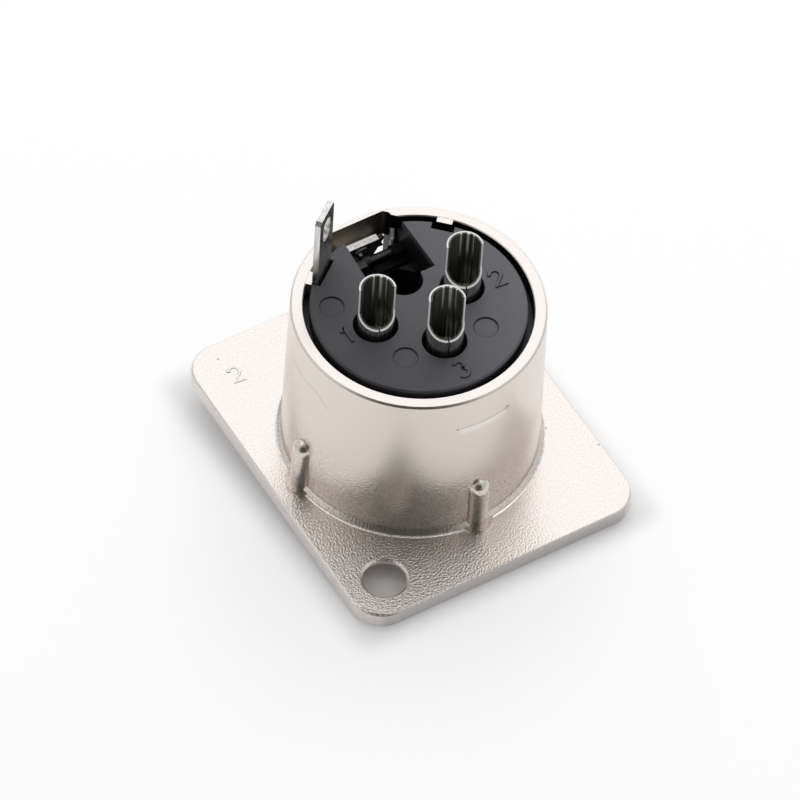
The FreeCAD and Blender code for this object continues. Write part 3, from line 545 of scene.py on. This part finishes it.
# %% Skin of the insert
PLASTIC = (0.040, 0.039, 0.048)
PLASTIC_LIGHT = (0.150, 0.147, 0.166)
SKIN_DEPTH = 0.006 * MM
SHEEN_ACROSS = (-10.0 * MM, 11.0 * MM)
SHEEN_MOST = 0.85
CLOUD_SHARE = 0.15
CLOUD_ROUGH = (0.40, 0.48)
plastic, tree, shader = start_material("insert_plastic")
skin = place_group(tree, grain_group, Pebbles_per_metre=9000.0, Waves_per_metre=260.0,
                   Wave_share=0.2)
emboss(tree, shader, skin.outputs["Height"], SKIN_DEPTH)
insert_place = object_place(tree)
insert_x, _, insert_z = split_axes(tree, insert_place)
# Painted sheen: the top face gets paler towards +X.
painted_highlight = spread(tree, insert_x, *SHEEN_ACROSS, 0.0, SHEEN_MOST)
clouds = calculate(tree, "MULTIPLY", skin.outputs["Patches"], CLOUD_SHARE)
matte = blend_colours(tree, calculate(tree, "ADD", painted_highlight, clouds), PLASTIC, PLASTIC_LIGHT)
join(tree, pick(tree, skin.outputs["Patches"], *CLOUD_ROUGH), shader.inputs["Roughness"])
print("plastic skin with clouds")

# %% [markdown]
# ## Dirt and painted shade on the insert
# Dirt has darkened the rims of the three round ejector marks, and the sides of the raised
# numerals are darkened as painted shade. A rim is a narrow band of distance from the mark's
# centre. A rim is a narrow band of distance from the mark's centre. The sides of the
# numerals could be given a material of their own, but they are also the only faces above the
# disc that do not look straight up, so the true normal of the face picks them out.

# %% Dirty rims, and painted shade on the sides of the strokes
PLASTIC_DEEP = (0.012, 0.012, 0.013)
EJECTOR_PLACES = ((7.0, 152), (5.4, 228), (5.75, 309))
EJECTOR_RIM = (1.0 * MM, 0.055 * MM, 0.03 * MM)
RIM_DIRT = 0.8
DISC_HEIGHT = 16.4
STROKE_TILT = (0.6, 0.95)
ABOVE_DISC = (16.455 * MM, 16.47 * MM)
RECESS_WALL = (15.5 * MM, 16.4 * MM)
for radius, angle in EJECTOR_PLACES:
    away = distance_from(tree, insert_place, on_circle(radius, angle, DISC_HEIGHT))
    dirt = multiply(tree, band(tree, away, *EJECTOR_RIM), RIM_DIRT)
    matte = blend_colours(tree, dirt, matte, PLASTIC_DEEP)
# Painted shade: the sloped sides of the raised numerals are darkened.
true_normal = add_node(tree, "ShaderNodeNewGeometry").outputs["True Normal"]
stroke_sides = multiply(tree, fade(tree, split_axes(tree, true_normal)["Z"], *STROKE_TILT),
                        spread(tree, insert_z, *ABOVE_DISC))
matte = blend_colours(tree, stroke_sides, matte, PLASTIC_DEEP)
# Painted shade: the walls of the recess go to near black below the top face.
near_top = spread(tree, insert_z, *RECESS_WALL)
join(tree, blend_colours(tree, near_top, PLASTIC_DEEP, matte), shader.inputs["Base Color"])
dress("insert", plastic)

# %% [markdown]
# ## The contacts: plated and rolled sheet
# Each contact is rolled from brass sheet and plated, so its drawn lines run along its length.
# The plating is bright outside. Inside the cup it is dull, and its darker colour is painted
# shade, since light hardly reaches in there. The mesh could be split into inner and outer
# faces, but a mask of the distance from the contact's own axis tells the two sides of the
# sheet apart as well.
# That is one more small group, used by all three contacts, and it also gives the angle round
# the axis.

# %% Build the group for the inside of a tube
CONTACT_OUTSIDE = 1.5 * MM
CONTACT_SHEET = 0.28 * MM
INNER_FACE = CONTACT_OUTSIDE - CONTACT_SHEET
MID_SHEET = (INNER_FACE + 0.12 * MM, INNER_FACE + 0.16 * MM)
inside_group, inside_in, inside_out = start_group(
    "inside_of_tube", {"Axis": "NodeSocketVector"}, ("Inside", "Angle"))
offset = add_node(inside_group, "ShaderNodeVectorMath", operation="SUBTRACT")
join(inside_group, object_place(inside_group), offset.inputs[0])
join(inside_group, inside_in.outputs["Axis"], offset.inputs[1])
flatten = add_node(inside_group, "ShaderNodeVectorMath", {1: (1, 1, 0)}, operation="MULTIPLY")
join(inside_group, offset.outputs[0], flatten.inputs[0])
reach = add_node(inside_group, "ShaderNodeVectorMath", operation="LENGTH")
join(inside_group, flatten.outputs[0], reach.inputs[0])
inner_side = fade(inside_group, reach.outputs["Value"], *MID_SHEET)
flat_x, flat_y, _ = split_axes(inside_group, flatten.outputs[0])
around_axis = calculate(inside_group, "ARCTAN2", flat_y, flat_x)
join(inside_group, inner_side, inside_out.inputs["Inside"])
join(inside_group, around_axis, inside_out.inputs["Angle"])
print("group:", inside_group.name)

# %% [markdown]
# ## The sheared edges of the cups
# The cup's wall was cut away on one side, and the cut left a narrow, rougher edge: two upright
# ends, a sloping lip between them, and the rim on top. Its pale colour is a painted highlight.
# An edge could be found by how sharply the surface turns, but that picks up every edge of the
# sheet. The cut follows three plain rules of place, so each rule is a mask. The cups are cut
# along a fixed direction, and the reach of a point along it is a dot product.


# %% Mask the sheared edges
CONTACT_TURN = math.radians(-20)
SCOOP_HEIGHT = 3.0 * MM
SCOOP_SLOPE = 0.45
CUT_BAND = (0.05 * MM, 0.02 * MM)
RIM_BAND = (0.04 * MM, 0.02 * MM)
towards_back = Vector((-math.sin(CONTACT_TURN), math.cos(CONTACT_TURN), 0))


def reach_along(tree, vector, way):
    """Measure how far a vector reaches along a fixed direction."""
    dot = add_node(tree, "ShaderNodeVectorMath", {1: way}, operation="DOT_PRODUCT")
    join(tree, vector, dot.inputs[0])
    return dot.outputs["Value"]


def sheared_edges(tree, place, height, axis, rim, inside):
    """Mask the cut ends, the sloping lip and the rim of a cup, but not its inner side."""
    behind = calculate(tree, "SUBTRACT", reach_along(tree, place, towards_back),
                       axis.dot(towards_back))
    above = calculate(tree, "SUBTRACT", height, rim - SCOOP_HEIGHT)
    lip = calculate(tree, "SUBTRACT", above, calculate(tree, "MULTIPLY", behind, SCOOP_SLOPE))
    upright = multiply(tree, band(tree, behind, 0.0, *CUT_BAND),
                       spread(tree, above, -CUT_BAND[0], 0.0))
    sloping = multiply(tree, band(tree, lip, 0.0, *CUT_BAND),
                       fade(tree, behind, 0.0, CUT_BAND[0]))
    edges = highest(tree, upright, sloping, band(tree, height, rim, *RIM_BAND))
    return multiply(tree, edges, calculate(tree, "SUBTRACT", 1.0, inside))


print("the tall walls of the cups are towards", tuple(round(part, 2) for part in towards_back))

# %% [markdown]
# ## The inside of the cups
# Deep in a cup the brass gives an olive tint, and the dark tone is painted shade. Three
# upright streaks near the top are painted highlights where the lamp is caught, and one side
# is paler low down. They could be painted by hand on an image, but bands of angle round the
# axis stay straight and upright, like the rolled sheet itself, and need no image.


# %% Colour the inside of a cup
CUP_DARK = (0.045, 0.047, 0.036)
CUP_OLIVE = (0.13, 0.133, 0.105)
CUP_STREAK = (0.70, 0.70, 0.63)
CUP_LOW = (0.95, 0.96, 0.80)
STREAKS = ((74, 3.0), (47, 5.0), (24, 2.0))
STREAK_SOFT = math.radians(2.5)
STREAKS_FROM = (3.3 * MM, 1.2 * MM)
LOW_PATCH_DOWN_TO = (5.0 * MM, 3.3 * MM)
LOW_PATCH_ANGLES = (math.radians(18), math.radians(38), math.radians(14))


def cup_colour(tree, tube, drawn, height, rim):
    """Colour the dull inner side of a cup in painted shade, with its highlight streaks and a
    paler patch low down.
    """
    around = tube.outputs["Angle"]
    # Painted shade: the inner side is dark, olive along the drawn lines.
    inner = blend_colours(tree, drawn.outputs["Streaks"], CUP_DARK, CUP_OLIVE)
    high_up = spread(tree, height, *(rim - depth for depth in STREAKS_FROM))
    # Painted highlights: three upright streaks high up in the cup.
    for degrees, half in STREAKS:
        streak = band(tree, around, math.radians(degrees), math.radians(half), STREAK_SOFT)
        inner = blend_colours(tree, multiply(tree, streak, high_up), inner, CUP_STREAK)
    low_down = multiply(tree, fade(tree, height, *(rim - depth for depth in LOW_PATCH_DOWN_TO)),
                        band(tree, around, *LOW_PATCH_ANGLES))
    low_patch = multiply(tree, low_down, drawn.outputs["Streaks"])
    return blend_colours(tree, low_patch, inner, CUP_LOW)


print("streaks in each cup:", len(STREAKS))

# %% Finish the contacts
SILVER = (0.84, 0.835, 0.81)
SILVER_DULL = (0.50, 0.50, 0.48)
CUT_EDGE_HIGHLIGHT = (0.93, 0.93, 0.915)
CUP_METALLIC = 0.45
CUT_METALLIC = 0.25
SILVER_ROUGH = 0.22
CUP_ROUGH = 0.34
CUT_ROUGH = 0.5
CONTACT_LINES = (5200.0, 5200.0, 130.0)
CONTACT_DEPTH = 0.02 * MM


def finish_contact(node):
    """Plate one contact, dull inside its cup and bright on its sheared edges."""
    low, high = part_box(node)
    axis = (low + high) / 2
    plating, tree, shader = start_material(f"{node}_plating")
    tube = place_group(tree, inside_group, Axis=(axis.x, axis.y, 0))
    drawn = place_group(tree, lines_group, Across_per_metre=CONTACT_LINES)
    inside = tube.outputs["Inside"]
    place = object_place(tree)
    height = split_axes(tree, place)["Z"]
    sheared = sheared_edges(tree, place, height, axis, high.z, inside)
    outer = blend_colours(tree, drawn.outputs["Streaks"], SILVER_DULL, SILVER)
    colour = blend_colours(tree, inside, outer, cup_colour(tree, tube, drawn, height, high.z))
    # Painted highlight: the sheared edges are pale and only partly metal.
    join(tree, blend_colours(tree, sheared, colour, CUT_EDGE_HIGHLIGHT), shader.inputs["Base Color"])
    plated = pick(tree, inside, 1.0, CUP_METALLIC)
    metallic = calculate(tree, "MINIMUM", plated, pick(tree, sheared, 1.0, CUT_METALLIC))
    join(tree, metallic, shader.inputs["Metallic"])
    rough = highest(tree, pick(tree, sheared, SILVER_ROUGH, CUT_ROUGH),
                    spread(tree, plated, CUP_METALLIC, 1.0, CUP_ROUGH, SILVER_ROUGH))
    join(tree, rough, shader.inputs["Roughness"])
    emboss(tree, shader, drawn.outputs["Height"], CONTACT_DEPTH)
    dress(node, plating)
    print(f"its axis is at {axis.x / MM:.2f}, {axis.y / MM:.2f} mm")


for node in ("contact_1", "contact_2", "contact_3"):
    finish_contact(node)

# %% [markdown]
# ## The ground tab, the lever, the pin and the spring
# These four are plain metal of one kind each. The tab and the lever are stamped sheet, so
# they share the drawn lines, at different scales. The pin and the spring are drawn wire, and
# their near-black tone is painted shade. Each could have a network of its own, but only their
# tone and gloss differ, so one function with a few values makes all four.


# %% Finish the stamped and drawn pieces
STREAK_ROUGH = 0.08


def finish_metal(node, tone, dull, gloss, across, depth):
    """Give a stamped or drawn piece a metal finish with lines along it."""
    metal, tree, shader = start_material(f"{node}_metal", Metallic=1.0)
    drawn = place_group(tree, lines_group, Across_per_metre=across)
    streaks = drawn.outputs["Streaks"]
    join(tree, blend_colours(tree, streaks, dull, tone), shader.inputs["Base Color"])
    join(tree, pick(tree, streaks, gloss + STREAK_ROUGH, gloss), shader.inputs["Roughness"])
    emboss(tree, shader, drawn.outputs["Height"], depth)
    dress(node, metal)
    return tree, shader, drawn


finish_metal("ground_tab", tone=(0.74, 0.735, 0.72), dull=(0.60, 0.60, 0.585), gloss=0.26,
             across=(3000.0, 3000.0, 250.0), depth=0.01 * MM)
lever_parts = finish_metal("latch_lever", tone=(0.60, 0.585, 0.56), dull=(0.40, 0.385, 0.36),
                           gloss=0.24, across=(3500.0, 3500.0, 500.0), depth=0.012 * MM)
# Painted shade: the pin and the spring are near black.
finish_metal("latch_pin", tone=(0.10, 0.10, 0.097), dull=(0.05, 0.05, 0.048), gloss=0.3,
             across=(200.0, 7000.0, 7000.0), depth=0.006 * MM)
finish_metal("latch_spring", tone=(0.12, 0.12, 0.117), dull=(0.06, 0.06, 0.058), gloss=0.3,
             across=(6000.0, 6000.0, 6000.0), depth=0.004 * MM)

# %% [markdown]
# ## The lever's painted highlight and painted shade
# The lever's end is a sheared face, painted pale as a painted highlight, with a brighter
# painted highlight along the burr at its far edge. The rest of the lever lies in shade, and
# outside the middle of its far part, ears too, it is painted near black as painted shade. The
# end could be a material of its own on its face, but its edges would be hard, so masks of
# place in the lever's own material mark it.

# %% Colour the lever's end
END_HIGHLIGHT = (0.97, 0.955, 0.94)
END_HIGHLIGHT_DULL = (0.66, 0.645, 0.62)
BURR_HIGHLIGHT = (1.0, 0.995, 0.985)
LEVER_SHADE = (0.03, 0.03, 0.029)
BELOW_TOP = (0.06 * MM, 0.02 * MM)
END_START = (8.8 * MM, 8.9 * MM)
BURR_START = (9.46 * MM, 9.52 * MM)
EARS_END = (8.4 * MM, 9.0 * MM)
EARS_INSIDE = (1.74 * MM, 1.78 * MM)
tree, shader, drawn = lever_parts
lever_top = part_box("latch_lever")[1].z
lever_x, lever_y, lever_z = split_axes(tree, object_place(tree))
end_face = multiply(tree, spread(tree, lever_z, *(lever_top - depth for depth in BELOW_TOP)),
                    spread(tree, lever_y, *END_START))
burr = multiply(tree, end_face, spread(tree, lever_y, *BURR_START))
# Painted highlights: the end face is pale, and palest along the burr at its far edge.
bright = blend_colours(tree, drawn.outputs["Streaks"], END_HIGHLIGHT_DULL, END_HIGHLIGHT)
bright = blend_colours(tree, burr, bright, BURR_HIGHLIGHT)
# Painted shade: outside the middle of its far part the lever is near black.
between_ears = multiply(tree, spread(tree, lever_y, *EARS_END),
                        fade(tree, calculate(tree, "ABSOLUTE", lever_x), *EARS_INSIDE))
plain = shader.inputs["Base Color"].links[0].from_socket
tone = blend_colours(tree, between_ears, LEVER_SHADE, plain)
join(tree, blend_colours(tree, end_face, tone, bright), shader.inputs["Base Color"])
print(f"the lever ends at {lever_top / MM:.2f} mm")

# %% [markdown]
# The stamp rolled the end face over towards the pivot and a little to one side, so it mirrors
# the lamp above it. The tilt could be cut into the solid, but the whole face is little more
# than half a millimetre deep. So it is a bump that rises evenly over the face, and the drawn
# lines' bump goes into it, so that both are seen.

# %% Roll the lever's end over
ROLLED_BACK = 0.32
ROLLED_ASIDE = 0.4 * ROLLED_BACK
END_ROUGH = (0.28, 0.4)
fall = calculate(tree, "ADD", calculate(tree, "MULTIPLY", lever_y, ROLLED_BACK),
                 calculate(tree, "MULTIPLY", lever_x, ROLLED_ASIDE))
rolled = add_node(tree, "ShaderNodeBump", {"Distance": 1.0})
join(tree, multiply(tree, end_face, fall), rolled.inputs["Height"])
join(tree, shader.inputs["Normal"].links[0].from_socket, rolled.inputs["Normal"])
join(tree, rolled.outputs["Normal"], shader.inputs["Normal"])
join(tree, pick(tree, end_face, *END_ROUGH), shader.inputs["Roughness"])
print(f"rolled over by {math.degrees(math.atan(ROLLED_BACK)):.0f} degrees")

# %% [markdown]
# ## Numerals as raised strokes
# The moulds leave raised numerals beside the contacts, and a cavity number on the flange. A
# font would give outlines of the wrong kind, because these are single strokes of an engraving
# cutter. So each numeral is a path of arcs and lines in a box one unit high, and a sloped
# strip of constant width is swept along it: wide at its foot, narrower on top.


# %% Numeral paths
def arc(centre, radius, start, end, steps=12):
    """Give points on an arc, with angles in degrees."""
    points = []
    for step in range(steps + 1):
        angle = math.radians(start + (end - start) * step / steps)
        points.append((centre[0] + radius * math.cos(angle),
                       centre[1] + radius * math.sin(angle)))
    return points


NUMERALS = {
    "1": [[(0.12, 0.74), (0.34, 1.0), (0.34, 0.0)]],
    "2": [arc((0.32, 0.70), 0.30, 165, -35) + [(0.02, 0.0), (0.66, 0.0)]],
    "3": [arc((0.30, 0.75), 0.25, 150, -80) + arc((0.30, 0.27), 0.27, 80, -150)],
}
NUMERAL_MIDDLE = (0.33, 0.5)
print("numerals:", ", ".join(NUMERALS))


# %% Faces for a stroke
def close_rings(mesh, rings):
    """Join rings of corners with faces and close both ends."""
    count = len(rings[0])
    for first, second in zip(rings, rings[1:]):
        for corner in range(count):
            following = (corner + 1) % count
            mesh.faces.new((first[corner], first[following],
                            second[following], second[corner]))
    mesh.faces.new(rings[0][::-1])
    mesh.faces.new(rings[-1])


def raise_stroke(mesh, points, width, lift, slope):
    """Sweep a strip with sloped sides along a flat path."""
    last = len(points) - 1
    rings = []
    for index, point in enumerate(points):
        before = points[max(index - 1, 0)]
        after = points[min(index + 1, last)]
        along = (Vector(after) - Vector(before)).normalized()
        side = Vector((-along.y, along.x))
        ring = []
        for share, rise in ((1, 0), (slope, 1), (-slope, 1), (-1, 0)):
            place = Vector(point) + side * share * width / 2
            ring.append(mesh.verts.new((place.x, place.y, rise * lift)))
        rings.append(ring)
    close_rings(mesh, rings)


def keep_mesh(name, mesh, material):
    """Turn finished faces into a piece in the scene."""
    bmesh.ops.recalc_face_normals(mesh, faces=mesh.faces)
    data = bpy.data.meshes.new(name)
    mesh.to_mesh(data)
    mesh.free()
    data.materials.append(material)
    piece = bpy.data.objects.new(name, data)
    bpy.context.scene.collection.objects.link(piece)
    print(f"made {name} with {len(data.polygons)} faces")
    return piece


print("mesh helpers: 3")


# %% Raise the numerals
DISC_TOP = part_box("insert")[1].z
SINK = 0.01 * MM
NUMERAL_PLACES = {"1": (-6.52, 0.14), "2": (6.96, -0.61), "3": (-0.27, -7.20)}
CAVITY_PLACE = (-9.68, 11.84)


def make_numeral(name, digit, centre, tall, stroke, lift, slope, material):
    """Make one raised numeral on a face that looks along +Z."""
    mesh = bmesh.new()
    middle_x, middle_y = NUMERAL_MIDDLE
    for path in NUMERALS[digit]:
        scaled = [((x - middle_x) * tall, (y - middle_y) * tall) for x, y in path]
        raise_stroke(mesh, scaled, stroke, lift, slope)
    bmesh.ops.translate(mesh, vec=centre, verts=mesh.verts[:])
    piece = keep_mesh(name, mesh, material)
    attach(piece, "base")


for digit, (x, y) in NUMERAL_PLACES.items():
    make_numeral(f"contact_number_{digit}", digit, Vector((x * MM, y * MM, DISC_TOP - SINK)),
                 tall=1.6 * MM, stroke=0.38 * MM, lift=0.13 * MM, slope=0.62,
                 material=plastic)
cavity_x, cavity_y = CAVITY_PLACE
make_numeral("cavity_number", "2", Vector((cavity_x * MM, cavity_y * MM, -SINK)),
             tall=1.55 * MM, stroke=0.34 * MM, lift=0.07 * MM, slope=0.74,
             material=nickel)

# %% [markdown]
# ## The pin's seat and the lever's shoulders
# In the recess, the pin's free end goes into a boss, and a low sill lies under the pin; both
# are near black as painted shade.
# The lever's shoulders nearly fill the slot beside them. A scaled cube could stand in for
# each, but it has no chamfers and knife-sharp edges, which no moulding or stamping has. So an
# outline is extruded, and a small bevel takes the sharpness off its edges.


# %% Extrude outlines
def make_block(name, outline, axis, start, end, material, body, soft=0.04 * MM):
    """Extrude an outline in millimetres along X or Y, with bevelled edges."""
    mesh = bmesh.new()
    rings = []
    for along in (start, end):
        corners = [(along, u, v) if axis == "X" else (u, along, v) for u, v in outline]
        rings.append([mesh.verts.new(Vector(corner) * MM) for corner in corners])
    close_rings(mesh, rings)
    piece = keep_mesh(name, mesh, material)
    edge = piece.modifiers.new("soft edges", "BEVEL")
    edge.width = soft
    edge.segments = 2
    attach(piece, body)


print("block helpers: 1")

# %% Seat the pin
SEAT_SHADE_BLACK = (0.009, 0.009, 0.01)
PIN_Y = 7.93
PIN_Z = 13.29
SHOULDER_Z = 12.5
RECESS_RIGHT = 3.25
BITE = 0.05
SILL_LEFT = 0.3
SILL_NEAR = 6.8
SILL_FAR = PIN_Y + 0.55
SILL_TOP = PIN_Z - 0.45
BOSS_LEFT = 2.12
BOSS_NEAR = PIN_Y - 0.6
BOSS_FAR = PIN_Y + 0.44
BOSS_SIDE = PIN_Z + 0.3
BOSS_TOP = PIN_Z + 0.44
CHAMFER_NEAR = PIN_Y - 0.4
CHAMFER_FAR = PIN_Y + 0.3
# Painted shade: the seat's plastic is near black, darker than the insert.
seat_shade_plastic = start_material("seat_shade_plastic", Base_Color=(*SEAT_SHADE_BLACK, 1), Roughness=0.75,
                              Specular_IOR_Level=0.12)[0]
sill = [(SILL_NEAR, SHOULDER_Z), (SILL_FAR, SHOULDER_Z), (SILL_FAR, SILL_TOP),
        (SILL_NEAR, SILL_TOP)]
boss = [(BOSS_NEAR, SHOULDER_Z), (BOSS_FAR, SHOULDER_Z), (BOSS_FAR, BOSS_SIDE),
        (CHAMFER_FAR, BOSS_TOP), (CHAMFER_NEAR, BOSS_TOP), (BOSS_NEAR, BOSS_SIDE)]
for name, outline, left in (("pin_sill", sill, SILL_LEFT), ("pin_boss", boss, BOSS_LEFT)):
    make_block(name, outline, "X", left, RECESS_RIGHT + BITE, seat_shade_plastic,
               "base")

# %% Widen the lever's shoulders
SHOULDER_OUTLINE = ((1.7, 13.1), (2.63, 13.1), (1.42, 10.98), (1.25, 10.98), (1.7, 12.5))
SHOULDER_FRONT = 9.63
SHOULDER_BACK = 10.2
lever_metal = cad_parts["latch_lever"].material_slots[0].material
for side, word in ((1, "right"), (-1, "left")):
    outline = [(side * x, z) for x, z in SHOULDER_OUTLINE]
    make_block(f"lever_shoulder_{word}", outline, "Y", SHOULDER_FRONT, SHOULDER_BACK,
               lever_metal, "latch", soft=0.03 * MM)

# %% [markdown]
# ## The room
# The photograph was lit by one large soft lamp behind the socket and by white surroundings.
# The camera's side of the room was dark, and it shows in the cups and in the rounded rim. An
# image of a studio could light the scene, but a plain world can be written down. So the world
# is white with a darker side, fixed in the room. To the camera itself it is plain white. A
# lamp here does not hide the wall behind it, and both would be seen together in the metal, so
# the world is darker behind the lamp.

# %% Ways to the lamp and to the dark side
LAMP_ELEVATION = math.radians(56)
DARK_ELEVATION = math.radians(38)
heading = Vector((backward.x, backward.y, 0)).normalized()


def raise_heading(heading, elevation):
    """Lift a level direction to an elevation."""
    way = heading * math.cos(elevation)
    way.z = math.sin(elevation)
    return way


dark_side = raise_heading(heading, DARK_ELEVATION)
lamp_way = raise_heading(-heading, LAMP_ELEVATION)
print("the lamp is towards", tuple(round(part, 2) for part in lamp_way))

# %% What the metal mirrors
ROOM_GLOSS = 0.76
ROOM_DARK = 0.08
ROOM_BEHIND_LAMP = 0.28
DARK_EDGE = (0.62, 0.95)
LAMP_EDGE = (math.cos(math.radians(40)), math.cos(math.radians(26)))
world = bpy.data.worlds.new("white_room")
bpy.context.scene.world = world
world.use_nodes = True
tree = world.node_tree
tree.nodes.clear()
direction = add_node(tree, "ShaderNodeTexCoord").outputs["Generated"]
wall = spread(tree, reach_along(tree, direction, dark_side), *DARK_EDGE, ROOM_GLOSS, ROOM_DARK)
behind_lamp = spread(tree, reach_along(tree, direction, lamp_way), *LAMP_EDGE, 1.0,
                     ROOM_BEHIND_LAMP)
mirrored = multiply(tree, wall, behind_lamp)
print(f"mirrored walls from {ROOM_GLOSS} down to {ROOM_DARK}")

# %% What each ray sees
ROOM_FILL = 0.42
WHITE = (1, 1, 1, 1)
rays = add_node(tree, "ShaderNodeLightPath")
strength = add_node(tree, "ShaderNodeMix", {"A": ROOM_FILL}, data_type="FLOAT")
join(tree, rays.outputs["Is Glossy Ray"], strength.inputs["Factor"])
join(tree, mirrored, strength.inputs["B"])
room = add_node(tree, "ShaderNodeBackground", {"Color": WHITE})
join(tree, strength.outputs["Result"], room.inputs["Strength"])
seen = add_node(tree, "ShaderNodeBackground", {"Color": WHITE, "Strength": 1.0})
choice = add_node(tree, "ShaderNodeMixShader")
join(tree, rays.outputs["Is Camera Ray"], choice.inputs[0])
join(tree, room.outputs[0], choice.inputs[1])
join(tree, seen.outputs[0], choice.inputs[2])
join(tree, choice.outputs[0], add_node(tree, "ShaderNodeOutputWorld").inputs["Surface"])
print(f"world: white to the camera, {ROOM_FILL} as fill")

# %% [markdown]
# ## The lamp
# The lamp is a large square softbox. A small lamp would give hard shadows and small glints,
# and the photograph has a broad pale sheen on the flange and a soft shadow. Its power grows
# with its area, so that its brightness stays the same whatever its size.

# %% Hang the lamp
LAMP_SIZE = 0.75
LAMP_DISTANCE = 0.62
LAMP_LEVEL = 1.03
lamp_data = bpy.data.lights.new("softbox", "AREA")
lamp_data.size = LAMP_SIZE
lamp_data.energy = LAMP_LEVEL * math.pi * LAMP_SIZE ** 2
lamp = bpy.data.objects.new("softbox", lamp_data)
bpy.context.scene.collection.objects.link(lamp)
lamp.location = lamp_way * LAMP_DISTANCE
lamp.rotation_mode = "QUATERNION"
lamp.rotation_quaternion = lamp_way.to_track_quat("Z", "Y")
print(f"softbox {lamp_data.energy:.2f} W")

# %% [markdown]
# ## The table's finish
# The table is plain white card. It is matte, so it only takes the soft shadow. More lamp light
# would whiten it but wash out the socket. So a little glow that only the camera and its mirror
# images see lifts the card to the white of the backdrop. The glow is weaker near the part,
# which keeps the contact shadow. Under the flange the card is in deep shade, so it has no glow
# there and is a darker tone.

# %% Masks on the card
UNDER_FLANGE = (-1.2 * MM, 0.5 * MM)
ROUND_FLANGE = (1.2 * MM, 1.8 * MM)
card, tree, shader = start_material("white_card", Roughness=0.9, Specular_IOR_Level=0.1)
card_x, card_y, _ = split_axes(tree, object_place(tree))
flange_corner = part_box("shell")[1]


def near_flange(margin, soft):
    """Mask the card within a margin of the flange, at whose low edge its Y is zero."""
    return multiply(tree, band(tree, card_x, 0.0, flange_corner.x + margin, soft),
                    band(tree, card_y, flange_corner.y, flange_corner.y + margin, soft))


covered = near_flange(*UNDER_FLANGE)
near_part = near_flange(*ROUND_FLANGE)
print(f"flange {2 * flange_corner.x / MM:.1f} by {2 * flange_corner.y / MM:.1f} mm")

# %% Finish the table
CARD_GLOW = 0.31
NEAR_GLOW = 0.4
CARD_WHITE = (0.97, 0.97, 0.975)
CARD_SHADED = (0.86, 0.83, 0.81)
card_rays = add_node(tree, "ShaderNodeLightPath")
watched = highest(tree, card_rays.outputs["Is Camera Ray"], card_rays.outputs["Is Glossy Ray"])
glow_weight = multiply(tree, watched, calculate(tree, "SUBTRACT", 1.0, covered),
                       pick(tree, near_part, 1.0, NEAR_GLOW), CARD_GLOW)
glow = add_node(tree, "ShaderNodeEmission", {"Color": WHITE})
join(tree, glow_weight, glow.inputs["Strength"])
join(tree, blend_colours(tree, covered, CARD_WHITE, CARD_SHADED), shader.inputs["Base Color"])
both = add_node(tree, "ShaderNodeAddShader")
join(tree, shader.outputs[0], both.inputs[0])
join(tree, glow.outputs[0], both.inputs[1])
join(tree, both.outputs[0], tree.nodes["Material Output"].inputs["Surface"])
table.data.materials.append(card)
print("card glow:", CARD_GLOW)
